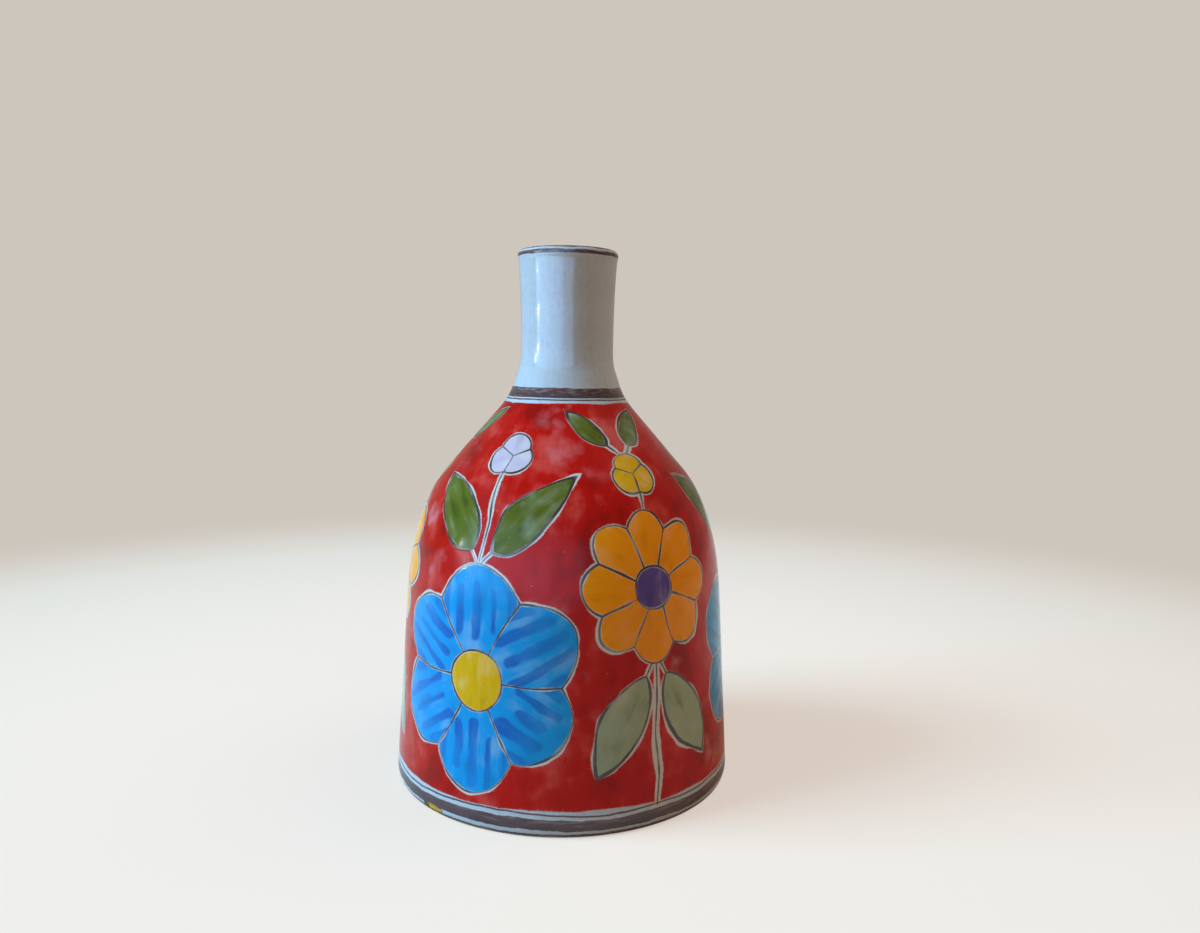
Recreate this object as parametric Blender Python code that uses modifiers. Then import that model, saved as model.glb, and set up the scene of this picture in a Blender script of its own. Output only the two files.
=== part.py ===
"""A painted bottle vase, modelled as the layers that its maker puts on one after another.

The clay body comes first. Glaze lies on the clay, inside and outside, and the painted bands, the red
ground and the colour fields lie on the outer glaze. Every layer follows one outline of the clay, so a
change of any size carries all of them with it. The flowers and leaves are laid out in repeats round
the bell. Metres, +Z up: the foot ring stands on Z = 0, and the wheel's axis is the Z axis.
"""

import math

import bmesh
import bpy
from mathutils import Vector
from mathutils.geometry import interpolate_bezier

# Rise of each stretch of the outside, from the foot to the lip
WALL_RISE = 0.0689
SHOULDER_RISE = 0.0458
CONE_RISE = 0.0206
THROAT_RISE = 0.0159
NECK_RISE = 0.0425

# Outside radius of the clay at each change of form
FOOT_RADIUS = 0.0622
BELLY_RADIUS = 0.0580
SHOULDER_RADIUS = 0.0429
THROAT_RADIUS = 0.0249
NECK_RADIUS = 0.0171
LIP_RADIUS = 0.0179

# How full the curves are: share of a stretch's own length that the handles at its two ends take
SHOULDER_FULLNESS = (0.48, 0.22)
THROAT_FULLNESS = (0.50, 0.38)
NECK_FULLNESS = (0.08, 0.32)
NECK_LEAN = -0.30
LIP_FLARE = 0.11

# Walls and floor
WALL_THICKNESS = 0.0038
FLOOR_THICKNESS = 0.0055
INNER_CORNER = 0.009
LIP_ROUND = 0.0011

# Foot ring and the recess inside it
FOOT_ROUND = 0.0014
FOOT_RING_WIDTH = 0.0085
RECESS_DEPTH = 0.0035
RECESS_CORNER = 0.002

# Coats: each lies on the one below it with a small gap
GLAZE_THICKNESS = 0.0004
PAINT_THICKNESS = 0.0002
GAP = 0.0003
LIP_WRAP = 0.003
GLAZE_STOP = 0.0006

# Painted lines and bands: where each lies and how wide it is, measured along the surface
MOUTH_LINE_RISE = 0.0012
MOUTH_LINE_WIDTH = 0.0007
RIM_LINE_RISE = 0.0006
RIM_LINE_WIDTH = 0.0010
COLLAR_BAND_RISE = 0.0067
COLLAR_BAND_WIDTH = 0.0041
COLLAR_LINE_DROP = 0.0008
COLLAR_LINE_WIDTH = 0.0006
RED_TOP_DROP = 0.0008
FOOT_EDGE_RISE = 0.0008
FOOT_EDGE_WIDTH = 0.0007
FOOT_BAND_RISE = 0.0026
FOOT_BAND_WIDTH = 0.0036
FOOT_LINE_GAP = 0.0012
FOOT_LINE_WIDTH = 0.0008
RED_BOTTOM_GAP = 0.0008

# Flowers and leaves: one repeat holds a blue flower, an orange one, their leaves and two buds
REPEATS = 3
FIRST_TURN = math.radians(-117)
RESERVE = 0.0009
BLUE_FLOWER_RADIUS = 0.038
BLUE_PETALS = 6
BLUE_NOTCH = 0.22
BLUE_EYE_RADIUS = 0.0095
BLUE_FLOWER_CLEAR = 0.003
ORANGE_FLOWER_RADIUS = 0.026
ORANGE_PETALS = 8
ORANGE_NOTCH = 0.20
ORANGE_EYE_RADIUS = 0.0075
ORANGE_FLOWER_LIFT = 0.031
BUD_RADIUS = 0.0085
BUD_PETALS = 3
BUD_NOTCH = 0.25
LEAF_START = 0.004
SAGE_LEAF_LENGTH = 0.036
SAGE_LEAF_WIDTH = 0.015
SAGE_LEAF_LEAN = math.radians(30)
OLIVE_LEAF_LENGTH = 0.034
OLIVE_LEAF_WIDTH = 0.015
OLIVE_LEAF_LEAN = math.radians(40)
SMALL_LEAF_LENGTH = 0.0175
SMALL_LEAF_WIDTH = 0.0085
SMALL_LEAF_LEAN = math.radians(32)

# How finely the curves are cut
TURN_STEPS = 24
SHOULDER_STEPS = 5
THROAT_STEPS = 4
NECK_STEPS = 4
ROUND_STEPS = 2
CORNER_STEPS = 3
PETAL_STEPS = 4
EYE_STEPS = 10
LEAF_STEPS = 4

# How far a field's cutter reaches in and out from the paint, as shares of the radius there
CUTTER_IN, CUTTER_OUT = 0.12, 0.40

FINISHES = {
    "clay": ((0.60, 0.40, 0.22), 0.85),
    "inner_glaze": ((0.50, 0.58, 0.62), 0.2),
    "outer_glaze": ((0.50, 0.58, 0.62), 0.15),
    "dark_oxide": ((0.07, 0.04, 0.04), 0.3),
    "red_enamel": ((0.52, 0.02, 0.015), 0.2),
    "blue_enamel": ((0.02, 0.30, 0.62), 0.2),
    "orange_enamel": ((0.80, 0.28, 0.01), 0.2),
    "yellow_enamel": ((0.75, 0.42, 0.02), 0.2),
    "olive_enamel": ((0.09, 0.15, 0.03), 0.2),
    "sage_enamel": ((0.22, 0.28, 0.19), 0.2),
    "lilac_enamel": ((0.45, 0.38, 0.55), 0.2),
    "violet_enamel": ((0.12, 0.08, 0.35), 0.2),
}


def clear_scene():
    for thing in list(bpy.data.objects):
        bpy.data.objects.remove(thing, do_unlink=True)


def new_collection(name):
    collection = bpy.data.collections.new(name)
    bpy.context.scene.collection.children.link(collection)
    return collection


def finish(name):
    """One of the vase's finishes as a Principled material, made when it is first asked for."""
    made = bpy.data.materials.get(name)
    if made is None:
        colour, roughness = FINISHES[name]
        made = bpy.data.materials.new(name)
        made.use_nodes = True
        made.diffuse_color = (*colour, 1.0)
        shader = made.node_tree.nodes["Principled BSDF"]
        shader.inputs["Base Color"].default_value = (*colour, 1.0)
        shader.inputs["Roughness"].default_value = roughness
        shader.inputs["Metallic"].default_value = 0.0
    return made


def curve(start, leave, end, arrive, steps):
    """Points of a curve that leaves start along one vector and arrives at end along another."""
    points = interpolate_bezier(start, start + leave, end - arrive, end, steps + 1)
    return [Vector((point.x, point.y)) for point in points]


def rounded(before, at, after, radius, steps):
    """The corner at a point, rounded off between its two neighbours."""
    into = (before - at).normalized()
    out = (after - at).normalized()
    opening = into.angle(out)
    reach = radius / math.tan(opening / 2)
    centre = at + (into + out).normalized() * radius / math.sin(opening / 2)
    start = at + into * reach - centre
    end = at + out * reach - centre
    first = math.atan2(start.y, start.x)
    sweep = -start.angle_signed(end)
    turns = [first + sweep * step / steps for step in range(steps + 1)]
    return [centre + radius * Vector((math.cos(turn), math.sin(turn))) for turn in turns]


class Outline:
    """A line in the plane of radius and height, which layers are laid along at a distance."""

    def __init__(self, points):
        self.points = points
        self.lengths = [0.0]
        for here, there in zip(points, points[1:]):
            self.lengths.append(self.lengths[-1] + (there - here).length)
        self.mitres = [self.mitre(index) for index in range(len(points))]

    def normal(self, index):
        along = (self.points[index + 1] - self.points[index]).normalized()
        return Vector((-along.y, along.x))

    def mitre(self, index):
        """The step off the line that keeps both of a point's stretches at the same distance."""
        before = self.normal(max(index - 1, 0))
        after = self.normal(min(index, len(self.points) - 2))
        return (before + after) / (1 + before.dot(after))

    def at(self, length, distance):
        """The point at a length along the line and a distance off it."""
        index = 0
        while index < len(self.points) - 2 and length > self.lengths[index + 1]:
            index += 1
        stretch = self.lengths[index + 1] - self.lengths[index]
        share = (length - self.lengths[index]) / stretch
        point = self.points[index].lerp(self.points[index + 1], share)
        return point + self.mitres[index].lerp(self.mitres[index + 1], share) * distance

    def between(self, start, end, distance):
        """The stretch from one length to another, at a distance off the line."""
        inner = [
            self.points[index] + self.mitres[index] * distance
            for index, length in enumerate(self.lengths)
            if start < length < end
        ]
        return [self.at(start, distance), *inner, self.at(end, distance)]

    def length_down_to(self, height):
        """How far along the line its outer side comes down to a height."""
        index = max(range(len(self.points)), key=lambda each: self.points[each].y)
        while self.points[index + 1].y > height:
            index += 1
        here, there = self.points[index], self.points[index + 1]
        share = (here.y - height) / (here.y - there.y)
        return self.lengths[index] + share * (there - here).length


def clay_outside():
    """The clay's outside from the lip down to the foot, before its corners are rounded."""
    foot = Vector((FOOT_RADIUS, 0.0))
    belly = Vector((BELLY_RADIUS, WALL_RISE))
    shoulder = Vector((SHOULDER_RADIUS, belly.y + SHOULDER_RISE))
    throat = Vector((THROAT_RADIUS, shoulder.y + CONE_RISE))
    neck = Vector((NECK_RADIUS, throat.y + THROAT_RISE))
    lip = Vector((LIP_RADIUS, neck.y + NECK_RISE))
    up_wall = (belly - foot).normalized()
    up_cone = (throat - shoulder).normalized()
    up_neck = Vector((NECK_LEAN, 1.0)).normalized()
    up_lip = Vector((LIP_FLARE, 1.0)).normalized()

    def stretch(start, leave, end, arrive, fullness, steps):
        chord = (end - start).length
        leave, arrive = leave * chord * fullness[0], arrive * chord * fullness[1]
        return curve(start, leave, end, arrive, steps)

    points = [foot]
    points += stretch(belly, up_wall, shoulder, up_cone, SHOULDER_FULLNESS, SHOULDER_STEPS)
    points += stretch(throat, up_cone, neck, up_neck, THROAT_FULLNESS, THROAT_STEPS)
    points += stretch(neck, up_neck, lip, up_lip, NECK_FULLNESS, NECK_STEPS)[1:]
    return list(reversed(points))


def clay_inside(outside, floor):
    """The clay's inside from the lip down to where its corner with the floor begins to bend."""
    rough = Outline(outside)
    inside = rough.between(0.0, rough.lengths[-1], -WALL_THICKNESS)
    inside[0].y = outside[0].y
    return [point for point in inside if point.y > floor + INNER_CORNER], inside[-1]


def clay_outline(outside):
    """The whole outline of the clay, from the axis inside the floor round to the axis below it."""
    floor = RECESS_DEPTH + FLOOR_THICKNESS
    inside, below = clay_inside(outside, floor)
    share = (inside[-1].y - floor) / (inside[-1].y - below.y)
    floor_edge = inside[-1].lerp(below, share)
    axis_above = Vector((0.0, floor))
    axis_below = Vector((0.0, RECESS_DEPTH))
    ring_inside = Vector((FOOT_RADIUS - FOOT_RING_WIDTH, 0.0))
    recess_edge = Vector((ring_inside.x, RECESS_DEPTH))
    points = [axis_above]
    points += rounded(axis_above, floor_edge, inside[-1], INNER_CORNER, CORNER_STEPS)
    points += reversed(inside[1:])
    points += rounded(inside[1], inside[0], outside[0], LIP_ROUND, ROUND_STEPS)
    points += rounded(inside[0], outside[0], outside[1], LIP_ROUND, ROUND_STEPS)
    points += outside[1:-1]
    points += rounded(outside[-2], outside[-1], ring_inside, FOOT_ROUND, ROUND_STEPS)
    points += [ring_inside]
    points += rounded(ring_inside, recess_edge, axis_below, RECESS_CORNER, ROUND_STEPS)
    points += [axis_below]
    return Outline(points)


def turned(name, profile, closed, coat, collection):
    """A solid of revolution: the profile runs down its outer side and turns about Z."""
    mesh = bpy.data.meshes.new(name)
    edges = [(index, index + 1) for index in range(len(profile) - 1)]
    if closed:
        edges.append((len(profile) - 1, 0))
    mesh.from_pydata([(point.x, 0.0, point.y) for point in profile], edges, [])
    mesh.materials.append(finish(coat))
    piece = bpy.data.objects.new(name, mesh)
    collection.objects.link(piece)
    screw = piece.modifiers.new("turn", "SCREW")
    screw.steps = TURN_STEPS
    screw.render_steps = TURN_STEPS
    screw.use_merge_vertices = True
    screw.merge_threshold = 0.00002
    screw.use_smooth_shade = True
    return piece


def lobed(radius, petals, notch, steps, grow=0.0):
    """Outline of a flower or, with no notch, of its round eye, as points about its centre."""
    points = []
    for step in range(petals * steps):
        turn = math.tau * step / (petals * steps)
        reach = radius * (1 - notch * (1 - abs(math.cos(petals * turn / 2)))) + grow
        points.append(Vector((reach * math.sin(turn), reach * math.cos(turn))))
    return points


def leaf(start, length, width, lean, grow=0.0):
    """Outline of a leaf that leaves a point and leans by an angle, with a point at its tip."""
    along = Vector((math.sin(lean), math.cos(lean)))
    across = Vector((along.y, -along.x))
    foot = start - along * grow
    length += 2 * grow
    sides = [[], []]
    for step in range(1, LEAF_STEPS):
        share = step / LEAF_STEPS
        half = (width / 2 + grow) * math.sin(math.pi * share ** 0.8) ** 0.8
        sides[0].append(foot + along * length * share - across * half)
        sides[1].append(foot + along * length * share + across * half)
    return [foot, *sides[0], foot + along * length, *reversed(sides[1])]


class Bell:
    """The painted part of the vase: its layers, and the place of each motif on its surface."""

    def __init__(self, outline, vase, cutters):
        self.outline = outline
        self.vase = vase
        self.cutters = cutters
        self.foot = outline.length_down_to(FOOT_ROUND)
        self.paint = GAP + GLAZE_THICKNESS + GAP

    def coat(self, name, start, end, base, thickness, finish_name, closed=True):
        """A coat between two lengths of the outline, outer side first."""
        outer = self.outline.between(start, end, base + thickness)
        inner = self.outline.between(start, end, base)
        profile = outer + list(reversed(inner))
        return turned(name, profile, closed, finish_name, self.vase)

    def band(self, name, start, end, finish_name):
        return self.coat(name, start, end, self.paint, PAINT_THICKNESS, finish_name)

    def place(self, turn, rise, point):
        """Where a motif's point falls: its turn about the axis, its radius and its height."""
        spot = self.outline.at(self.foot - rise - point.y, self.paint)
        return turn + point.x / spot.x, spot.x, spot.y

    def cutter(self, name, turn, rise, points):
        """A closed block that runs straight out from inside the paint through a motif's outline."""
        reach = self.place(turn, rise, Vector((0.0, 0.0)))[1]
        out = Vector((math.cos(turn), math.sin(turn), 0.0)) * reach
        cage = bmesh.new()
        ring = []
        for point in points:
            angle, radius, height = self.place(turn, rise, point)
            spot = Vector((radius * math.cos(angle), radius * math.sin(angle), height))
            ring.append(cage.verts.new(spot - out * CUTTER_IN))
        face = cage.faces.new(ring)
        moved = bmesh.ops.extrude_face_region(cage, geom=[face])
        for vertex in moved["geom"]:
            if isinstance(vertex, bmesh.types.BMVert):
                vertex.co += out * (CUTTER_IN + CUTTER_OUT)
        bmesh.ops.recalc_face_normals(cage, faces=cage.faces)
        mesh = bpy.data.meshes.new(name)
        cage.to_mesh(mesh)
        cage.free()
        block = bpy.data.objects.new(name, mesh)
        block.hide_render = True
        block.display_type = "WIRE"
        self.cutters.objects.link(block)
        return block

    def field(self, name, turn, rise, points, finish_name, hole=None):
        """A patch of enamel of a motif's outline, cut from a coat of paint."""
        heights = [point.y for point in points]
        start = self.foot - rise - max(heights) - RESERVE
        end = self.foot - rise - min(heights) + RESERVE
        patch = self.band(name, start, end, finish_name)
        cut(patch, "outline", "INTERSECT", self.cutter(name + "_edge", turn, rise, points))
        if hole:
            cut(patch, "eye", "DIFFERENCE", hole)
        return patch


def cut(piece, name, operation, other):
    """Cut a piece by one block, or by all the blocks of a collection."""
    boolean = piece.modifiers.new(name, "BOOLEAN")
    boolean.operation = operation
    if isinstance(other, bpy.types.Collection):
        boolean.operand_type = "COLLECTION"
        boolean.collection = other
    else:
        boolean.object = other


def make_lines(bell, throat, lip):
    """The dark lines and bands, and the lengths between which the red ground lies."""
    collar_line = throat - COLLAR_BAND_RISE + COLLAR_LINE_DROP
    collar_end = collar_line + COLLAR_LINE_WIDTH
    foot_edge = bell.foot + FOOT_ROUND - FOOT_EDGE_RISE
    foot_band = bell.foot + FOOT_ROUND - FOOT_BAND_RISE
    foot_line = foot_band - FOOT_BAND_WIDTH - FOOT_LINE_GAP
    red_end = foot_line - FOOT_LINE_WIDTH - RED_BOTTOM_GAP
    spans = {
        "mouth_line": (lip - MOUTH_LINE_RISE - MOUTH_LINE_WIDTH, lip - MOUTH_LINE_RISE),
        "rim_line": (lip - RIM_LINE_RISE, lip - RIM_LINE_RISE + RIM_LINE_WIDTH),
        "collar_band": (throat - COLLAR_BAND_RISE - COLLAR_BAND_WIDTH, throat - COLLAR_BAND_RISE),
        "collar_line": (collar_line, collar_end),
        "foot_line": (foot_line - FOOT_LINE_WIDTH, foot_line),
        "foot_band": (foot_band - FOOT_BAND_WIDTH, foot_band),
        "foot_edge_line": (foot_edge - FOOT_EDGE_WIDTH, foot_edge),
    }
    for name, (start, end) in spans.items():
        bell.band(name, start, end, "dark_oxide")
    return collar_end + RED_TOP_DROP, red_end


def make_flower(bell, gaps, name, turn, rise, size, eye_radius, finishes):
    """A flower with its eye, and the block that keeps the red ground clear of it."""
    eye = lobed(eye_radius, 1, 0.0, EYE_STEPS)
    around_eye = lobed(eye_radius, 1, 0.0, EYE_STEPS, RESERVE)
    hole = bell.cutter(name + "_eye_gap", turn, rise, around_eye)
    bell.field(name, turn, rise, lobed(*size), finishes[0], hole)
    bell.field(name + "_eye", turn, rise, eye, finishes[1])
    gaps.objects.link(bell.cutter(name + "_gap", turn, rise, lobed(*size, RESERVE)))


def make_plain(bell, gaps, name, turn, rise, shape, size, finish_name):
    """A leaf or a bud, and the block that keeps the red ground clear of it."""
    bell.field(name, turn, rise, shape(*size), finish_name)
    gaps.objects.link(bell.cutter(name + "_gap", turn, rise, shape(*size, RESERVE)))


def make_leaves(bell, gaps, name, turn, rise, size, tag):
    """A leaf to each side of a motif's middle line."""
    length, width, lean = size
    for side, word in ((-1, "left"), (1, "right")):
        start = Vector((side * LEAF_START, 0.0))
        leaf_size = (start, length, width, side * lean)
        finish_name = name.split("_")[0] + "_enamel"
        make_plain(bell, gaps, f"{name}_{word}{tag}", turn, rise, leaf, leaf_size, finish_name)


def make_motifs(bell, gaps, red_end):
    """The flowers, leaves and buds of every repeat, each placed by the one below it."""
    blue = (BLUE_FLOWER_RADIUS, BLUE_PETALS, BLUE_NOTCH, PETAL_STEPS)
    orange = (ORANGE_FLOWER_RADIUS, ORANGE_PETALS, ORANGE_NOTCH, PETAL_STEPS)
    bud = (BUD_RADIUS, BUD_PETALS, BUD_NOTCH, PETAL_STEPS)
    sage = (SAGE_LEAF_LENGTH, SAGE_LEAF_WIDTH, math.pi - SAGE_LEAF_LEAN)
    olive = (OLIVE_LEAF_LENGTH, OLIVE_LEAF_WIDTH, OLIVE_LEAF_LEAN)
    small = (SMALL_LEAF_LENGTH, SMALL_LEAF_WIDTH, SMALL_LEAF_LEAN)
    blue_rise = bell.foot - red_end + BLUE_FLOWER_CLEAR + BLUE_FLOWER_RADIUS
    olive_rise = blue_rise + BLUE_FLOWER_RADIUS + LEAF_START
    lilac_rise = olive_rise + OLIVE_LEAF_LENGTH * math.cos(OLIVE_LEAF_LEAN) + BUD_RADIUS
    orange_rise = blue_rise + ORANGE_FLOWER_LIFT
    sage_rise = orange_rise - ORANGE_FLOWER_RADIUS - LEAF_START
    yellow_rise = orange_rise + ORANGE_FLOWER_RADIUS + LEAF_START + BUD_RADIUS
    small_rise = yellow_rise + BUD_RADIUS + LEAF_START
    for number in range(REPEATS):
        turn = FIRST_TURN + number * math.tau / REPEATS
        between = turn + math.pi / REPEATS
        tag = f"_{number + 1}"
        make_flower(bell, gaps, "blue_flower" + tag, turn, blue_rise, blue,
                    BLUE_EYE_RADIUS, ("blue_enamel", "yellow_enamel"))
        make_flower(bell, gaps, "orange_flower" + tag, between, orange_rise, orange,
                    ORANGE_EYE_RADIUS, ("orange_enamel", "violet_enamel"))
        make_leaves(bell, gaps, "olive_leaf", turn, olive_rise, olive, tag)
        make_leaves(bell, gaps, "sage_leaf", between, sage_rise, sage, tag)
        make_leaves(bell, gaps, "olive_sprig", between, small_rise, small, tag)
        make_plain(bell, gaps, "lilac_bud" + tag, turn, lilac_rise, lobed, bud, "lilac_enamel")
        make_plain(bell, gaps, "yellow_bud" + tag, between, yellow_rise, lobed, bud,
                   "yellow_enamel")


def build():
    clear_scene()
    vase = new_collection("painted_vase")
    cutters = new_collection("cutters")
    gaps = new_collection("gaps_in_the_red")
    outside = clay_outside()
    outline = clay_outline(outside)
    bell = Bell(outline, vase, cutters)
    lip = outline.length_down_to(outside[0].y - LIP_ROUND)
    throat = outline.length_down_to(WALL_RISE + SHOULDER_RISE + CONE_RISE)
    glaze_start = lip - WALL_THICKNESS - LIP_WRAP
    glaze_end = bell.foot + FOOT_ROUND - GLAZE_STOP

    turned("clay_body", outline.points, False, "clay", vase)
    bell.coat("inner_glaze", 0.0, glaze_start - GAP, GAP, GLAZE_THICKNESS, "inner_glaze", False)
    bell.coat("outer_glaze", glaze_start, glaze_end, GAP, GLAZE_THICKNESS, "outer_glaze")
    red_start, red_end = make_lines(bell, throat, lip)
    red = bell.band("red_ground", red_start, red_end, "red_enamel")
    make_motifs(bell, gaps, red_end)
    cut(red, "gaps", "DIFFERENCE", gaps)


build()
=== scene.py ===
"""A painted bottle vase: its clay, its lining and its painted glaze, dressed over the packed model.

The three pieces are turned from one outline of the clay, so a change of any size carries all of
them with it. The painting is worked out point by point on the glaze: how far a point lies from the
edge of a flower, leaf or band decides which enamel, drawn line or bare glaze it shows.
"""

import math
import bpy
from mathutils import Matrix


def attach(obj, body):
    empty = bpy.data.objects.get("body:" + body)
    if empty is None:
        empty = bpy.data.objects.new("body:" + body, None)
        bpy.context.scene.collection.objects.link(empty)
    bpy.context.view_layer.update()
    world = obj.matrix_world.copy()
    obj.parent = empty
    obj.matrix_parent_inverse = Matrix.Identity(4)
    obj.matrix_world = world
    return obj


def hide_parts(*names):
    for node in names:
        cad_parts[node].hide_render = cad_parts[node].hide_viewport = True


bl_info = {
    "name": "Painted Vase",
    "version": (1, 0, 0),
    "blender": (4, 5, 0),
    "location": "3D View > Sidebar > Vase",
    "description": "Turns, glazes and paints a bottle vase over its packed model",
    "category": "Add Mesh",
}

import bpy
import numpy
from bpy.props import (
    FloatProperty,
    FloatVectorProperty,
    IntProperty,
    PointerProperty,
)
from bpy.types import NodeSocket
from mathutils import Matrix, Vector
from mathutils.geometry import interpolate_bezier

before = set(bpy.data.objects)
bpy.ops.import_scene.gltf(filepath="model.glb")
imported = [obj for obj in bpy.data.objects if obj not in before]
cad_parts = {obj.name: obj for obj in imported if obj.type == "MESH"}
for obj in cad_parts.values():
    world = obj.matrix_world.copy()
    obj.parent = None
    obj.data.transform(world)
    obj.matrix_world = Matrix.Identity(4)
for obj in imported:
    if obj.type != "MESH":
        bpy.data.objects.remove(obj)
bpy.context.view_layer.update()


def length(name, default, description):
    return FloatProperty(
        name=name, description=description, default=default, precision=4, unit="LENGTH"
    )


def angle(name, default, description):
    return FloatProperty(
        name=name, description=description, default=math.radians(default), unit="ROTATION"
    )


def share(name, default, description):
    return FloatProperty(name=name, description=description, default=default, subtype="FACTOR")


def fullness(name, default, description):
    return FloatVectorProperty(name=name, description=description, default=default, size=2)


def count(name, default, description):
    return IntProperty(name=name, description=description, default=default, min=1)


def power(name, default, description):
    return FloatProperty(name=name, description=description, default=default, unit="POWER")


def linear(channel):
    """One channel of a colour as it is seen on a screen, from 0 to 255, as light."""
    value = channel / 255
    return value / 12.92 if value <= 0.04045 else ((value + 0.055) / 1.055) ** 2.4


def shade(name, seen, description):
    """A colour, from the red, green and blue that are seen on a screen."""
    default = [linear(channel) for channel in seen]
    return FloatVectorProperty(
        name=name, description=description, default=default, size=3, min=0, max=1, subtype="COLOR"
    )


class VaseShape(bpy.types.PropertyGroup):
    """Sizes of the clay body"""

    wall_rise: length("Wall rise", 0.0689, "Height of the nearly straight wall above the foot")
    shoulder_rise: length("Shoulder rise", 0.0458, "Height over which the shoulder bends in")
    cone_rise: length("Cone rise", 0.0206, "Height of the straight slope above the shoulder")
    throat_rise: length("Throat rise", 0.0159, "Height over which the slope bends up to the neck")
    neck_rise: length("Neck rise", 0.0425, "Height of the neck")
    foot_radius: length("Foot radius", 0.0622, "Radius at the foot")
    belly_radius: length("Belly radius", 0.0580, "Radius where the wall ends")
    shoulder_radius: length("Shoulder radius", 0.0429, "Radius where the shoulder ends")
    throat_radius: length("Throat radius", 0.0249, "Radius where the slope ends")
    neck_radius: length("Neck radius", 0.0171, "Radius at the foot of the neck")
    lip_radius: length("Lip radius", 0.0179, "Radius at the lip")
    shoulder_fullness: fullness("Shoulder fullness", (0.48, 0.22), "Pull of the shoulder's ends")
    throat_fullness: fullness("Throat fullness", (0.50, 0.38), "Pull of the throat's two ends")
    neck_fullness: fullness("Neck fullness", (0.08, 0.32), "Pull of the neck's two ends")
    neck_lean: share("Neck lean", -0.30, "How far the neck's foot leans out, per unit of height")
    lip_flare: share("Lip flare", 0.11, "How far the lip flares out, per unit of height")
    wall_thickness: length("Wall thickness", 0.0038, "Thickness of the clay wall")
    floor_thickness: length("Floor thickness", 0.0055, "Thickness of the clay floor")
    inner_corner: length("Inner corner", 0.009, "Radius between the floor and the inner wall")
    lip_round: length("Lip rounding", 0.0011, "Radius of the lip's two corners")
    foot_round: length("Foot rounding", 0.0014, "Radius of the foot's outer corner")
    foot_ring_width: length("Foot ring width", 0.0085, "Width of the ring that it stands on")
    foot_ring_round: length("Foot ring rounding", 0.0005, "Radius of the ring's inner corner")
    recess_depth: length("Recess depth", 0.0035, "Depth of the hollow under the floor")
    recess_corner: length("Recess corner", 0.002, "Radius inside the foot ring")


class VaseCoats(bpy.types.PropertyGroup):
    """Thickness and edges of the glaze, and how evenly the pieces are turned"""

    gap: length("Gap", 0.0003, "Space between the clay and the glaze")
    glaze_thickness: length("Glaze thickness", 0.0004, "Thickness of the bare glaze")
    paint_thickness: length("Paint thickness", 0.0005, "How much the painting adds on the bell")
    paint_fade: length("Paint fade", 0.012, "Height over which the painting's thickness runs out")
    lip_bead: length("Lip bead", 0.0004, "How much thicker the glaze lies over the lip")
    lip_wrap: length("Lip wrap", 0.003, "How far the outer glaze runs down inside the neck")
    glaze_stop: length("Glaze stop", 0.0006, "How far above the table the glaze ends")
    foot_fade: length("Foot fade", 0.0024, "Height over which the painting thins at the foot")
    segments: count("Segments", 300, "Faces round each turned piece")
    seam_turn: angle("Seam turn", -27, "Where the turned pieces' seam lies, round the axis")
    unevenness: length("Unevenness", 0.00016, "How far the turned surfaces dip below true")
    seed: count("Seed", 7, "Choice of unevenness")
    rings_apart: length("Rings apart", 0.0152, "From one of the potter's rings to the next")
    rings_start: length("Rings start", 0.1720, "Height at which one of the rings faces up most")
    ring_depth: length("Ring depth", 0.00006, "How deep the rings lie in the glaze on the neck")
    chip_turn: angle("Chip turn", -132.5, "Where the chip in the foot lies, round the axis")
    chip_rise: length("Chip rise", 0.0017, "Height of the chip's middle above the table")
    chip_width: length("Chip width", 0.0098, "Width of the chip along the foot")
    chip_height: length("Chip height", 0.0032, "Height of the chip")
    chip_depth: length("Chip depth", 0.0005, "Depth of the chip")


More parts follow.
